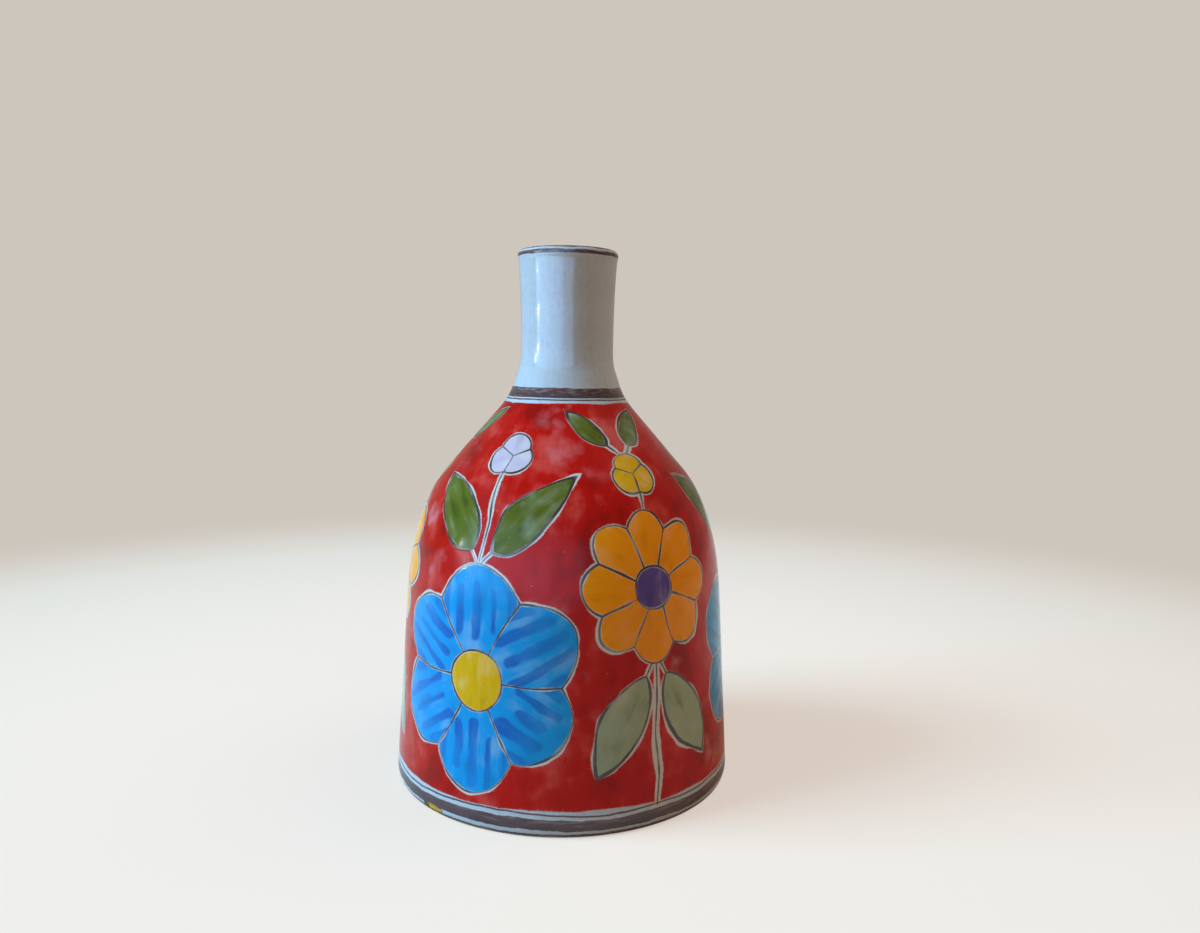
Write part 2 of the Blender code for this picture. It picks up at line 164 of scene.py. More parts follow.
class VasePainting(bpy.types.PropertyGroup):
    """Sizes of the painted lines, flowers and leaves, and how steady the hand was"""

    mouth_line_rise: length("Mouth line rise", 0.0010, "Mouth line above the lip's outer corner")
    mouth_line_width: length("Mouth line width", 0.0007, "Width of the line on the mouth")
    rim_line_rise: length("Rim line rise", 0.0005, "Rim line's top above the lip's corner")
    rim_line_width: length("Rim line width", 0.0009, "Width of the line round the rim")
    collar_band_rise: length("Collar band rise", 0.0067, "Collar band above the throat")
    collar_band_width: length("Collar band width", 0.0041, "Width of the collar band")
    collar_line_drop: length("Collar line drop", 0.0005, "Collar line below the band")
    collar_line_width: length("Collar line width", 0.0006, "Width of the collar line")
    red_top_drop: length("Red top drop", 0.0012, "Bare glaze between the collar line and red")
    foot_edge_rise: length("Foot edge rise", 0.0008, "Lowest line above the table")
    foot_edge_width: length("Foot edge width", 0.0007, "Width of the lowest line")
    foot_band_rise: length("Foot band rise", 0.0026, "Foot band above the table")
    foot_band_width: length("Foot band width", 0.0036, "Width of the foot band")
    foot_line_gap: length("Foot line gap", 0.0012, "Bare glaze between the foot band and line")
    foot_line_width: length("Foot line width", 0.0006, "Width of the foot line")
    red_bottom_gap: length("Red bottom gap", 0.0008, "Bare glaze between the foot line and red")
    repeats: count("Repeats", 3, "How often the pattern comes round")
    first_turn: angle("First turn", -117, "Where the first blue flower lies, round the axis")
    reserve: length("Reserve", 0.0009, "Bare glaze round each field of colour")
    blue_flower_radius: length("Blue flower radius", 0.038, "Reach of the blue petals")
    blue_petals: count("Blue petals", 6, "Petals of the blue flower")
    blue_notch: share("Blue notch", 0.22, "Depth of the notches between blue petals")
    blue_eye_radius: length("Blue flower's eye", 0.0095, "Radius of the blue flower's eye")
    blue_flower_clear: length("Blue flower clear", 0.003, "Red ground below the blue flower")
    orange_flower_radius: length("Orange flower radius", 0.026, "Reach of the orange petals")
    orange_petals: count("Orange petals", 8, "Petals of the orange flower")
    orange_notch: share("Orange notch", 0.20, "Depth of the notches between orange petals")
    orange_eye_radius: length("Orange flower's eye", 0.0075, "Radius of the orange one's eye")
    orange_flower_lift: length("Orange flower lift", 0.031, "How much higher orange lies")
    bud_radius: length("Bud radius", 0.0085, "Reach of a bud")
    bud_petals: count("Bud petals", 3, "Petals of a bud")
    bud_notch: share("Bud notch", 0.25, "Depth of the notches in a bud")
    leaf_start: length("Leaf start", 0.004, "How far a leaf starts from its middle line")
    sage_leaf_length: length("Sage leaf length", 0.036, "Length of a sage leaf")
    sage_leaf_width: length("Sage leaf width", 0.015, "Width of a sage leaf")
    sage_leaf_lean: angle("Sage leaf lean", 30, "Lean of a sage leaf from straight down")
    olive_leaf_length: length("Olive leaf length", 0.034, "Length of an olive leaf")
    olive_leaf_width: length("Olive leaf width", 0.015, "Width of an olive leaf")
    olive_leaf_lean: angle("Olive leaf lean", 40, "Lean of an olive leaf from straight up")
    small_leaf_length: length("Small leaf length", 0.0175, "Length of a sprig's leaf")
    small_leaf_width: length("Small leaf width", 0.0085, "Width of a sprig's leaf")
    small_leaf_lean: angle("Small leaf lean", 32, "Lean of a sprig's leaf from straight up")
    stroke_width: length("Stroke width", 0.0032, "Width of the dark strokes on blue petals")
    stroke_apart: length("Stroke apart", 0.0062, "From one dark stroke to the next")
    line_width: length("Line width", 0.00062, "Width of the drawn outlines")
    leaf_line_width: length("Leaf line width", 0.00095, "Width of the outlines of the leaves")
    fill_inset: length("Fill inset", 0.0004, "How far a colour stays inside its drawn outline")
    spray: length("Spray", 0.0013, "How far in from its edge the red is speckled")
    hand: length("Hand", 0.0028, "How far the drawing strays from its true shapes")
    tremble: length("Tremble", 0.0008, "How uneven the painted edges are")


class VaseColours(bpy.types.PropertyGroup):
    """Colours of the clay, the glaze and the enamels"""

    clay: shade("Clay", (196, 152, 92), "Bare fired clay")
    gold: shade("Gold", (218, 172, 62), "Clay that shows in the chip")
    lining: shade("Lining", (182, 190, 196), "Glaze inside the vase")
    glaze: shade("Glaze", (184, 199, 219), "Pale glaze outside")
    oxide: shade("Oxide", (78, 45, 50), "Dark oxide of the bands")
    line: shade("Line", (50, 26, 22), "Dark oxide of the drawn lines")
    cream: shade("Cream", (208, 204, 204), "Glaze left bare round the fields of colour")
    red: shade("Red", (187, 17, 11), "Red ground")
    blush: shade("Blush", (204, 66, 60), "Red where it lies thin")
    milk: shade("Milk", (214, 150, 160), "Cloudy patches in the red")
    azure: shade("Azure", (6, 152, 232), "Blue petals")
    stroke: shade("Stroke", (22, 96, 190), "Darker brush strokes on the blue petals")
    orange: shade("Orange", (246, 158, 2), "Orange petals")
    yellow: shade("Yellow", (222, 174, 8), "Yellow eyes and buds")
    olive: shade("Olive", (92, 104, 34), "Olive leaves")
    sage: shade("Sage", (158, 178, 156), "Sage leaves")
    lilac: shade("Lilac", (196, 184, 208), "Lilac buds")
    violet: shade("Violet", (98, 82, 166), "Violet eyes")


class VaseStage(bpy.types.PropertyGroup):
    """Camera, floor and light"""

    camera_place: FloatVectorProperty(
        name="Camera place", description="Where the camera stands",
        default=(0.01293, -0.3427, 0.1536), size=3, subtype="TRANSLATION", unit="LENGTH",
    )
    camera_pitch: angle("Camera pitch", 6.45, "How far the camera looks down")
    camera_roll: angle("Camera roll", 0.85, "How far the camera is tipped sideways")
    lens: FloatProperty(name="Lens", description="Focal length", default=27.28, unit="CAMERA")
    floor_radius: length("Floor radius", 6.0, "Reach of the floor")
    floor_near: length("Floor near", 0.16, "Where the floor begins to pass into the background")
    floor_far: length("Floor far", 0.62, "Where the floor has passed into the background")
    floor: shade("Floor", (247, 237, 229), "Pale floor")
    bounce: shade("Bounce", (182, 140, 110), "The floor, as its light reaches the vase")
    floor_glow: share("Floor glow", 0.58, "How far the floor is seen as pale as it is written")
    background: shade("Background", (205, 198, 188), "Pale background")
    key_power: power("Key light", 210.0, "Power of the broad soft lamp at the left")
    window_power: power("Window light", 8.4, "Power of the panel whose image the glaze shows")
    inner_power: power("Inner window", 2.6, "Power of the smaller panel that softens its edge")
    top_power: power("Top light", 13.5, "Power of the soft lamp high up at the right")
    glint_power: power("Glint", 1.0, "Power of each narrow lamp that shows in the glaze")
    fill_power: power("Fill light", 1.2, "Power of the weak lamp behind at the right")
    front_power: power("Front light", 3.1, "Power of the weak lamp at the front")
    room: FloatProperty(name="Room light", description="Strength of the even light", default=0.12)


# Outline of the clay
class Outline:
    """A line in the plane of radius and height, which layers are laid along at a distance"""

    def __init__(self, points):
        self.points = points
        self.lengths = [0.0]
        for here, there in zip(points, points[1:]):
            self.lengths.append(self.lengths[-1] + (there - here).length)
        self.mitres = [self.mitre(index) for index in range(len(points))]

    def normal(self, index):
        along = (self.points[index + 1] - self.points[index]).normalized()
        return Vector((-along.y, along.x))

    def mitre(self, index):
        """The step off the line that keeps both of a point's stretches at the same distance."""
        before = self.normal(max(index - 1, 0))
        after = self.normal(min(index, len(self.points) - 2))
        return (before + after) / (1 + before.dot(after))

    def at(self, length, distance):
        """The point at a length along the line and a distance off it."""
        index = 0
        while index < len(self.points) - 2 and length > self.lengths[index + 1]:
            index += 1
        stretch = self.lengths[index + 1] - self.lengths[index]
        part = (length - self.lengths[index]) / stretch
        point = self.points[index].lerp(self.points[index + 1], part)
        return point + self.mitres[index].lerp(self.mitres[index + 1], part) * distance

    def length_down_to(self, height):
        """How far along the line its outer side comes down to a height."""
        index = max(range(len(self.points)), key=lambda each: self.points[each].y)
        while self.points[index + 1].y > height:
            index += 1
        here, there = self.points[index], self.points[index + 1]
        part = (here.y - height) / (here.y - there.y)
        return self.lengths[index] + part * (there - here).length


def curve(start, leave, end, arrive, steps):
    """Points of a curve that leaves start along one vector and arrives at end along another."""
    points = interpolate_bezier(start, start + leave, end - arrive, end, steps + 1)
    return [Vector((point.x, point.y)) for point in points]


def rounded(before, at, after, radius, steps=8):
    """The corner at a point, rounded off between its two neighbours."""
    into = (before - at).normalized()
    out = (after - at).normalized()
    opening = into.angle(out)
    reach = radius / math.tan(opening / 2)
    centre = at + (into + out).normalized() * radius / math.sin(opening / 2)
    start = at + into * reach - centre
    end = at + out * reach - centre
    first = math.atan2(start.y, start.x)
    sweep = -start.angle_signed(end)
    turns = [first + sweep * step / steps for step in range(steps + 1)]
    return [centre + radius * Vector((math.cos(turn), math.sin(turn))) for turn in turns]


def clay_outside(shape):
    """The clay's outside from the lip down to the foot, before its corners are rounded."""
    foot = Vector((shape.foot_radius, 0.0))
    belly = Vector((shape.belly_radius, shape.wall_rise))
    shoulder = Vector((shape.shoulder_radius, belly.y + shape.shoulder_rise))
    throat = Vector((shape.throat_radius, shoulder.y + shape.cone_rise))
    neck = Vector((shape.neck_radius, throat.y + shape.throat_rise))
    lip = Vector((shape.lip_radius, neck.y + shape.neck_rise))
    up_wall = (belly - foot).normalized()
    up_cone = (throat - shoulder).normalized()
    up_neck = Vector((shape.neck_lean, 1.0)).normalized()
    up_lip = Vector((shape.lip_flare, 1.0)).normalized()

    def stretch(start, leave, end, arrive, pull, steps):
        chord = (end - start).length
        return curve(start, leave * chord * pull[0], end, arrive * chord * pull[1], steps)

    points = [foot]
    points += stretch(belly, up_wall, shoulder, up_cone, shape.shoulder_fullness, 24)
    points += stretch(throat, up_cone, neck, up_neck, shape.throat_fullness, 12)
    points += stretch(neck, up_neck, lip, up_lip, shape.neck_fullness, 16)[1:]
    return list(reversed(points))


def clay_outline(shape):
    """The whole outline of the clay, from the axis inside the floor round to the axis below it."""
    outside = clay_outside(shape)
    floor = shape.recess_depth + shape.floor_thickness
    rough = Outline(outside)
    inside = [
        point - mitre * shape.wall_thickness for point, mitre in zip(rough.points, rough.mitres)
    ]
    inside[0].y = outside[0].y
    below = inside[-1]
    inside = [point for point in inside if point.y > floor + shape.inner_corner]
    part = (inside[-1].y - floor) / (inside[-1].y - below.y)
    floor_edge = inside[-1].lerp(below, part)
    axis_above = Vector((0.0, floor))
    axis_below = Vector((0.0, shape.recess_depth))
    ring_inside = Vector((shape.foot_radius - shape.foot_ring_width, 0.0))
    recess_edge = Vector((ring_inside.x, shape.recess_depth))
    points = [axis_above]
    points += rounded(axis_above, floor_edge, inside[-1], shape.inner_corner)
    points += reversed(inside[1:])
    points += rounded(inside[1], inside[0], outside[0], shape.lip_round)
    points += rounded(inside[0], outside[0], outside[1], shape.lip_round)
    points += outside[1:-1]
    points += rounded(outside[-2], outside[-1], ring_inside, shape.foot_round)
    points += rounded(outside[-1], ring_inside, recess_edge, shape.foot_ring_round, steps=4)
    points += rounded(ring_inside, recess_edge, axis_below, shape.recess_corner, steps=6)
    points += [axis_below]
    return Outline(points)


class Marks:
    """Lengths along the clay's outline where the glaze and the painting start and end"""

    def __init__(self, outline, shape, coats):
        height = shape.wall_rise + shape.shoulder_rise + shape.cone_rise
        self.foot = outline.length_down_to(shape.foot_round)
        self.throat = outline.length_down_to(height)
        self.neck = outline.length_down_to(height + shape.throat_rise)
        height += shape.throat_rise + shape.neck_rise
        self.lip = outline.length_down_to(height - shape.lip_round)
        self.glaze_start = self.lip - shape.wall_thickness - coats.lip_wrap
        self.glaze_end = self.foot + shape.foot_round - coats.glaze_stop
        self.ground = self.foot + shape.foot_round

    def rise(self, length):
        """How far a length along the outline lies above the foot's rounding."""
        return self.foot - length


# Turned pieces
def sign(operation, swapped=False):
    """The method for an arithmetic sign, or for one whose number stands on its other side."""

    def apply(self, other):
        return self.nodes.math(operation, *((other, self) if swapped else (self, other)))

    return apply


class Number:
    """A number in a node tree: arithmetic on it adds Math nodes to the tree"""

    __add__, __radd__ = sign("ADD"), sign("ADD", swapped=True)
    __sub__, __rsub__ = sign("SUBTRACT"), sign("SUBTRACT", swapped=True)
    __mul__, __rmul__ = sign("MULTIPLY"), sign("MULTIPLY", swapped=True)
    __truediv__, __rtruediv__ = sign("DIVIDE"), sign("DIVIDE", swapped=True)

    def __init__(self, nodes, socket):
        self.nodes = nodes
        self.socket = socket

    def __neg__(self):
        return self.nodes.math("MULTIPLY", self, -1.0)

    def __abs__(self):
        return self.nodes.math("ABSOLUTE", self)


class Nodes:
    """A node tree, with short ways to add the nodes that the vase's trees are made of"""

    def __init__(self, tree):
        self.tree = tree

    def feed(self, socket, value):
        """Links a socket to a value's own socket, or sets it where the value is plain."""
        if isinstance(value, Number):
            value = value.socket
        if isinstance(value, NodeSocket):
            self.tree.links.new(value, socket)
        else:
            socket.default_value = value

    def fill(self, node, inputs):
        """Feeds a node's inputs by name or number."""
        for name, value in inputs.items():
            self.feed(node.inputs[name], value)

    def add(self, kind, inputs=None, **settings):
        """A node of a kind, with its settings and with its inputs by name or number."""
        node = self.tree.nodes.new(kind)
        for name, value in settings.items():
            setattr(node, name, value)
        self.fill(node, inputs or {})
        return node

    def math(self, operation, *values):
        """The result of one Math node."""
        node = self.add("ShaderNodeMath", dict(enumerate(values)), operation=operation)
        return Number(self, node.outputs[0])

    def lowest(self, first, *others):
        for other in others:
            first = self.math("MINIMUM", first, other)
        return first

    def highest(self, first, *others):
        for other in others:
            first = self.math("MAXIMUM", first, other)
        return first

    def hypotenuse(self, first, second):
        return self.math("SQRT", first * first + second * second)

    def fade(self, value, start, end):
        """A share that goes softly from 0 where the value is start to 1 where it is end."""
        inputs = {"Value": value, "From Min": start, "From Max": end}
        node = self.add("ShaderNodeMapRange", inputs, interpolation_type="SMOOTHSTEP")
        return Number(self, node.outputs[0])

    def between(self, value, low, high, soft):
        """A share that is 1 where a value lies between two others, with soft edges."""
        above = self.fade(value, low - soft, low + soft)
        return above * self.fade(value, high + soft, high - soft)

    def split(self, vector):
        node = self.add("ShaderNodeSeparateXYZ", {0: vector})
        return [Number(self, socket) for socket in node.outputs]

    def join(self, x, y, z):
        return self.add("ShaderNodeCombineXYZ", {0: x, 1: y, 2: z}).outputs[0]

    def noise(self, place, scale, detail=2.0, seed=0.0):
        """Noise about zero, mostly from -1 to 1, in lumps of one over the scale."""
        inputs = {"Vector": place, "W": seed, "Scale": scale, "Detail": detail}
        node = self.add("ShaderNodeTexNoise", inputs, noise_dimensions="4D")
        return Number(self, node.outputs[0]) * 4.0 - 2.0

    def group(self, tree, inputs):
        """A node that holds another tree, with that tree's results by name."""
        node = self.add(self.tree.bl_idname.replace("Tree", "Group"), inputs, node_tree=tree)
        return {socket.name: Number(self, socket) for socket in node.outputs}


def new_group(name, tree_kind, inputs, outputs):
    """A node group with its named sockets: the nodes, the inputs by name and the result node."""
    tree = bpy.data.node_groups.new(name, tree_kind)
    for side, sockets in (("INPUT", inputs), ("OUTPUT", outputs)):
        for socket, kind in sockets.items():
            tree.interface.new_socket(socket, in_out=side, socket_type="NodeSocket" + kind)
    nodes = Nodes(tree)
    given = nodes.add("NodeGroupInput")
    results = nodes.add("NodeGroupOutput")
    return nodes, {name: Number(nodes, given.outputs[name]) for name in inputs}, results


def out_from_chip(nodes, place, turn, rise, width, height):
    """How far out from the middle of the chip in the foot a point lies, where 1 is its edge."""
    x, y, z = nodes.split(place)
    away = nodes.math("WRAP", nodes.math("ARCTAN2", y, x) - turn, math.pi, -math.pi)
    away = away * nodes.hypotenuse(x, y)
    out = nodes.hypotenuse(away / width, (z - rise) / height) * 2
    return out + nodes.noise(place, 700.0) * 0.25


# Closer than this, points of a profile are one, and so are those at a turned seam or pole
SAME_POINT, MERGE_DISTANCE = 0.000001, 0.000002
TURNED_INPUTS = {
    "Profile": "Geometry",
    "Segments": "Int",
    "Start turn": "Float",
    "Unevenness": "Float",
    "Seed": "Float",
    "Chip turn": "Float",
    "Chip rise": "Float",
    "Chip width": "Float",
    "Chip height": "Float",
    "Chip depth": "Float",
    "Finish": "Material",
}


def turned_form_tree():
    """Turns a profile about the axis, closes its seam and poles, and makes it slightly uneven."""
    nodes, given, results = new_group(
        "turned_form", "GeometryNodeTree", TURNED_INPUTS, {"Form": "Geometry"}
    )
    profile = given["Profile"].socket
    size = nodes.add("GeometryNodeAttributeDomainSize", {0: profile})
    rows = Number(nodes, size.outputs["Point Count"])
    inputs = {"Vertices X": given["Segments"] + 1, "Vertices Y": rows}
    form = nodes.add("GeometryNodeMeshGrid", inputs).outputs["Mesh"]
    index = Number(nodes, nodes.add("GeometryNodeInputIndex").outputs[0])
    row = nodes.math("FLOORED_MODULO", index, rows)
    column = nodes.math("FLOOR", (index + 0.5) / rows)
    turn = given["Start turn"] + column * math.tau / given["Segments"]
    place = nodes.add("GeometryNodeInputPosition").outputs[0]

    def sampled(field, kind):
        inputs = {"Geometry": profile, "Value": field, "Index": row}
        return nodes.add("GeometryNodeSampleIndex", inputs, data_type=kind).outputs[0]

    def then(kind, **inputs):
        """The form after one more step."""
        return nodes.add("GeometryNode" + kind, {"Geometry": form, **inputs}).outputs[0]

    for name in ("rise", "along"):
        named = nodes.add("GeometryNodeInputNamedAttribute", {"Name": name}).outputs[0]
        form = then("StoreNamedAttribute", Name=name, Value=sampled(named, "FLOAT"))
    radius, _, height = nodes.split(sampled(place, "FLOAT_VECTOR"))
    x, y = radius * nodes.math("COSINE", turn), radius * nodes.math("SINE", turn)
    form = then("SetPosition", Position=nodes.join(x, y, height))
    form = then("MergeByDistance", Distance=MERGE_DISTANCE)

    x, y, _ = nodes.split(place)
    dip = (nodes.noise(place, 34.0, 1.0, given["Seed"]) - 1.0) * given["Unevenness"] / 2
    chip = [given["Chip " + each] for each in ("turn", "rise", "width", "height")]
    dip -= nodes.fade(out_from_chip(nodes, place, *chip), 1.05, 0.55) * given["Chip depth"]
    inward = dip / nodes.hypotenuse(x, y)
    form = then("SetPosition", Offset=nodes.join(x * inward, y * inward, 0.0))
    form = then("SetShadeSmooth")
    form = then("RealizeInstances")
    form = then("SetMaterial", Material=given["Finish"])
    nodes.feed(results.inputs["Form"], form)
    return nodes.tree


class Profile:
    """The points of a piece's profile, upwards on its outer side, and what each point knows"""

    def __init__(self):
        self.points = []
        self.rises = []

    def run(self, outline, marks, start, end, distance, step):
        """Adds the stretch between two lengths of the outline, at a distance that may change."""
        steps = max(1, round(abs(end - start) / step))
        for index in range(steps + 1):
            length = start + (end - start) * index / steps
            off = distance(length) if callable(distance) else distance
            self.add(outline.at(length, off), marks.rise(length))

    def add(self, point, rise):
        """Adds a point, unless the profile ends there already."""
        if not self.points or (point - self.points[-1]).length > SAME_POINT:
            self.points.append(point)
            self.rises.append(rise)

    def close(self):
        """Brings the profile back to its first point."""
        self.points.append(self.points[0].copy())
        self.rises.append(self.rises[0])

    def alongs(self):
        """How far along the profile each of its points lies."""
        alongs = [0.0]
        for here, there in zip(self.points, self.points[1:]):
            alongs.append(alongs[-1] + (there - here).length)
        return alongs


def new_object(name, data):
    """A mesh, a lamp or a camera as an object of the scene."""
    thing = bpy.data.objects.new(name, data)
    bpy.context.scene.collection.objects.link(thing)
    return thing


def turn_piece(name, profile, coats, material, chip_depth=0.0):
    """A closed piece, turned about the axis from its profile."""
    mesh = bpy.data.meshes.new(name)
    edges = [(index, index + 1) for index in range(len(profile.points) - 1)]
    mesh.from_pydata([(point.x, 0.0, point.y) for point in profile.points], edges, [])
    for attribute, values in (("rise", profile.rises), ("along", profile.alongs())):
        mesh.attributes.new(attribute, "FLOAT", "POINT").data.foreach_set("value", values)
    piece = new_object(name, mesh)
    tree = bpy.data.node_groups.get("turned_form") or turned_form_tree()
    turning = piece.modifiers.new("turning", "NODES")
    turning.node_group = tree
    values = {
        "Segments": coats.segments,
        "Start turn": coats.seam_turn,
        "Unevenness": coats.unevenness,
        "Seed": float(coats.seed),
        "Chip turn": coats.chip_turn,
        "Chip rise": coats.chip_rise,
        "Chip width": coats.chip_width,
        "Chip height": coats.chip_height,
        "Chip depth": chip_depth,
        "Finish": material,
    }
    for socket in tree.interface.items_tree:
        if socket.in_out == "INPUT" and socket.name in values:
            turning[socket.identifier] = values[socket.name]
    evaluated = piece.evaluated_get(bpy.context.evaluated_depsgraph_get())
    piece.data = bpy.data.meshes.new_from_object(evaluated)
    piece.data.name = name
    piece.modifiers.clear()
    return piece


# Materials
# How far the soft edge of an enamel, a band and a drawn line reaches to each side
ENAMEL_EDGE, BAND_EDGE, LINE_EDGE = 0.00016, 0.00012, 0.0001
# How far the red ground's edge fades outwards and inwards, and the cream glaze beside a motif
RED_OUT, RED_IN, CREAM_REACH = 0.00018, 0.0003, 0.004
# Height that a step of 1 in a material's relief stands for
RELIEF = 0.0001
# Radii that make a turn into a length, where a brush ran round the bell or along a band
ROUND_BELL, ROUND_BAND = 0.06, 0.03
# Length of a leaf, as its brush marks run along it
LEAF_RUN = 0.03


def new_material(name):
    """A material, its nodes, its Principled shader and the point of the piece that it colours."""
    material = bpy.data.materials.new(name)
    material.use_nodes = True
    nodes = Nodes(material.node_tree)
    place = nodes.add("ShaderNodeTexCoord").outputs["Object"]
    return material, nodes, material.node_tree.nodes["Principled BSDF"], place


def darker(colour, keep):
    """A colour of which only a share is kept."""
    return [channel * keep for channel in colour]


def paler(colour, add):
    """A colour with a share of white added."""
    return [channel + (1 - channel) * add for channel in colour]


def solid(colour):
    """A colour with nothing that shows through it."""
    return (*colour, 1.0)


def mix(nodes, part, first, second):
    """One colour over another, by a share."""
    node = nodes.add("ShaderNodeMix", data_type="RGBA")
    sockets = {socket.identifier: socket for socket in node.inputs}
    nodes.feed(sockets["Factor_Float"], part)
    for name, colour in (("A_Color", first), ("B_Color", second)):
        nodes.feed(sockets[name], colour if isinstance(colour, NodeSocket) else solid(colour))
    return node.outputs[2]


def wash(nodes, value, deep, plain, pale):
    """A colour that pools darker and thins paler as a value goes from 1 to -1."""
    pooled = mix(nodes, nodes.fade(value, 0.0, 0.9), plain, deep)
    return mix(nodes, nodes.fade(value, 0.0, -0.9), pooled, pale)


def uneven(nodes, value, colour, keep, add):
    """A wash of one colour, of which a share is kept where it pools, and white added where thin."""
    return wash(nodes, value, darker(colour, keep), colour, paler(colour, add))


def finish(nodes, shader, colour, rough, height, relief=RELIEF):
    """Gives a shader its colour, its roughness and its fine relief."""
    bump = nodes.add("ShaderNodeBump", {"Distance": relief, "Height": height})
    values = {"Base Color": colour, "Roughness": rough, "Normal": bump.outputs[0]}
    nodes.fill(shader, values)


def flower_tree():
    """How far a point lies from a lobed flower's edge, its drawn lines and its eye."""
    names = ("X", "Y", "Radius", "Petals", "Notch", "Eye")
    results = ("Edge", "Drawn", "Eye edge", "Petal", "Across", "Out")
    nodes, given, result = new_group(
        "flower", "ShaderNodeTree", dict.fromkeys(names, "Float"), dict.fromkeys(results, "Float")
    )
    x, y, radius, petals, notch, eye = (given[name] for name in names)
    out = nodes.highest(nodes.hypotenuse(x, y), 0.00001)
    turn = nodes.math("ARCTAN2", x, y)
    swing = turn * petals / 2
    reach = radius * (1 - notch * (1 - abs(nodes.math("COSINE", swing))))
    slope = radius * notch * petals / 2 * nodes.math("SINE", swing)
    slope = slope / nodes.highest(out, radius * 0.4)
    edge = (out - reach) / nodes.math("SQRT", slope * slope + 1.0)
    half_petal = math.pi / petals
    petal_turn = nodes.math("WRAP", turn, half_petal, -half_petal)
    side = out * nodes.math("SINE", half_petal - abs(petal_turn))
    eye_edge = out - eye
    nodes.fill(result, {
        "Edge": edge,
        "Drawn": nodes.highest(edge, -side, -eye_edge),
        "Eye edge": eye_edge,
        "Petal": nodes.math("FLOORED_MODULO", nodes.math("ROUND", turn / half_petal / 2), petals),
        "Across": out * nodes.math("SINE", petal_turn),
        "Out": out,
    })
    return nodes.tree


def leaf_tree():
    """How far a point lies from a pair of leaves that lean apart, and from their stalks."""
    names = ("X", "Y", "Start", "Length", "Width", "Lean")
    results = ("Edge", "Along", "Across", "Stalk")
    nodes, given, result = new_group(
        "leaf_pair", "ShaderNodeTree", dict.fromkeys(names, "Float"),
        dict.fromkeys(results, "Float"),
    )
    x, y, start, long, wide, lean = (given[name] for name in names)
    x = abs(x) - start
    sine, cosine = nodes.math("SINE", lean), nodes.math("COSINE", lean)
    along = x * sine + y * cosine
    across = x * cosine - y * sine
    grown = long * nodes.math("POWER", nodes.highest(along / long, 0.0), 0.85)
    grown += nodes.lowest(along, 0.0)
    bow = (long * long + wide * wide) / (4 * wide)
    edge = nodes.hypotenuse(abs(across) + bow - wide / 2, grown - long / 2) - bow
    beyond = nodes.highest(along, -start / sine - along, 0.0)
    nodes.fill(result, {
        "Edge": edge,
        "Along": along / long,
        "Across": across,
        "Stalk": nodes.hypotenuse(across, beyond),
    })
    return nodes.tree


class Motif:
    """A motif of the painting: its outer edge, its drawn lines and its fields of colour"""

    def __init__(self, edge, drawn, line_width, fields):
        self.edge = edge
        self.drawn = drawn
        self.line_width = line_width
        self.fields = fields


class Brush:
    """Paints the vase's glaze: the nodes of its material, and the unsteadiness of the hand"""

    def __init__(self, nodes, place, painting, colours):
        self.nodes = nodes
        self.place = place
        self.painting = painting
        self.colours = colours
        self.x, self.y, self.z = nodes.split(place)
        self.radius = nodes.hypotenuse(self.x, self.y)
        self.turn = nodes.math("ARCTAN2", self.y, self.x)
        attribute = nodes.add("ShaderNodeAttribute", attribute_name="rise")
        self.rise = Number(nodes, attribute.outputs["Fac"])
        self.stray = nodes.noise(place, 42.0, 1.0, 1.5) * painting.hand * 0.5
        self.lift = nodes.noise(place, 42.0, 1.0, 4.5) * painting.hand * 0.5
        self.shake = nodes.noise(place, 210.0, 2.0, 2.5) * painting.tremble * 0.4
        self.grain = nodes.noise(place, 1500.0, 2.0, 3.5)
        self.press = nodes.noise(place, 120.0, 1.0, 6.5)

    def spot(self, first_turn, rise):
        """A point's place beside and above the nearest motif of one kind."""
        nodes = self.nodes
        half = math.pi / self.painting.repeats
        away = nodes.math("WRAP", self.turn - first_turn, half, -half)
        return away * self.radius + self.stray, self.rise + self.lift - rise

    def streaks(self, across, along, fine, seed):
        """Noise drawn out along one direction, as a brush leaves it."""
        vector = self.nodes.join(across * fine, along * fine * 0.18, 0.0)
        return self.nodes.noise(vector, 1.0, 3.0, seed)

    def covered(self, distance, inset=0.0):
        """Where a field of enamel lies, from the distance to its edge."""
        distance = distance + self.shake * 0.8 + self.press * 0.00035 + inset
        return self.nodes.fade(distance, ENAMEL_EDGE, -ENAMEL_EDGE)


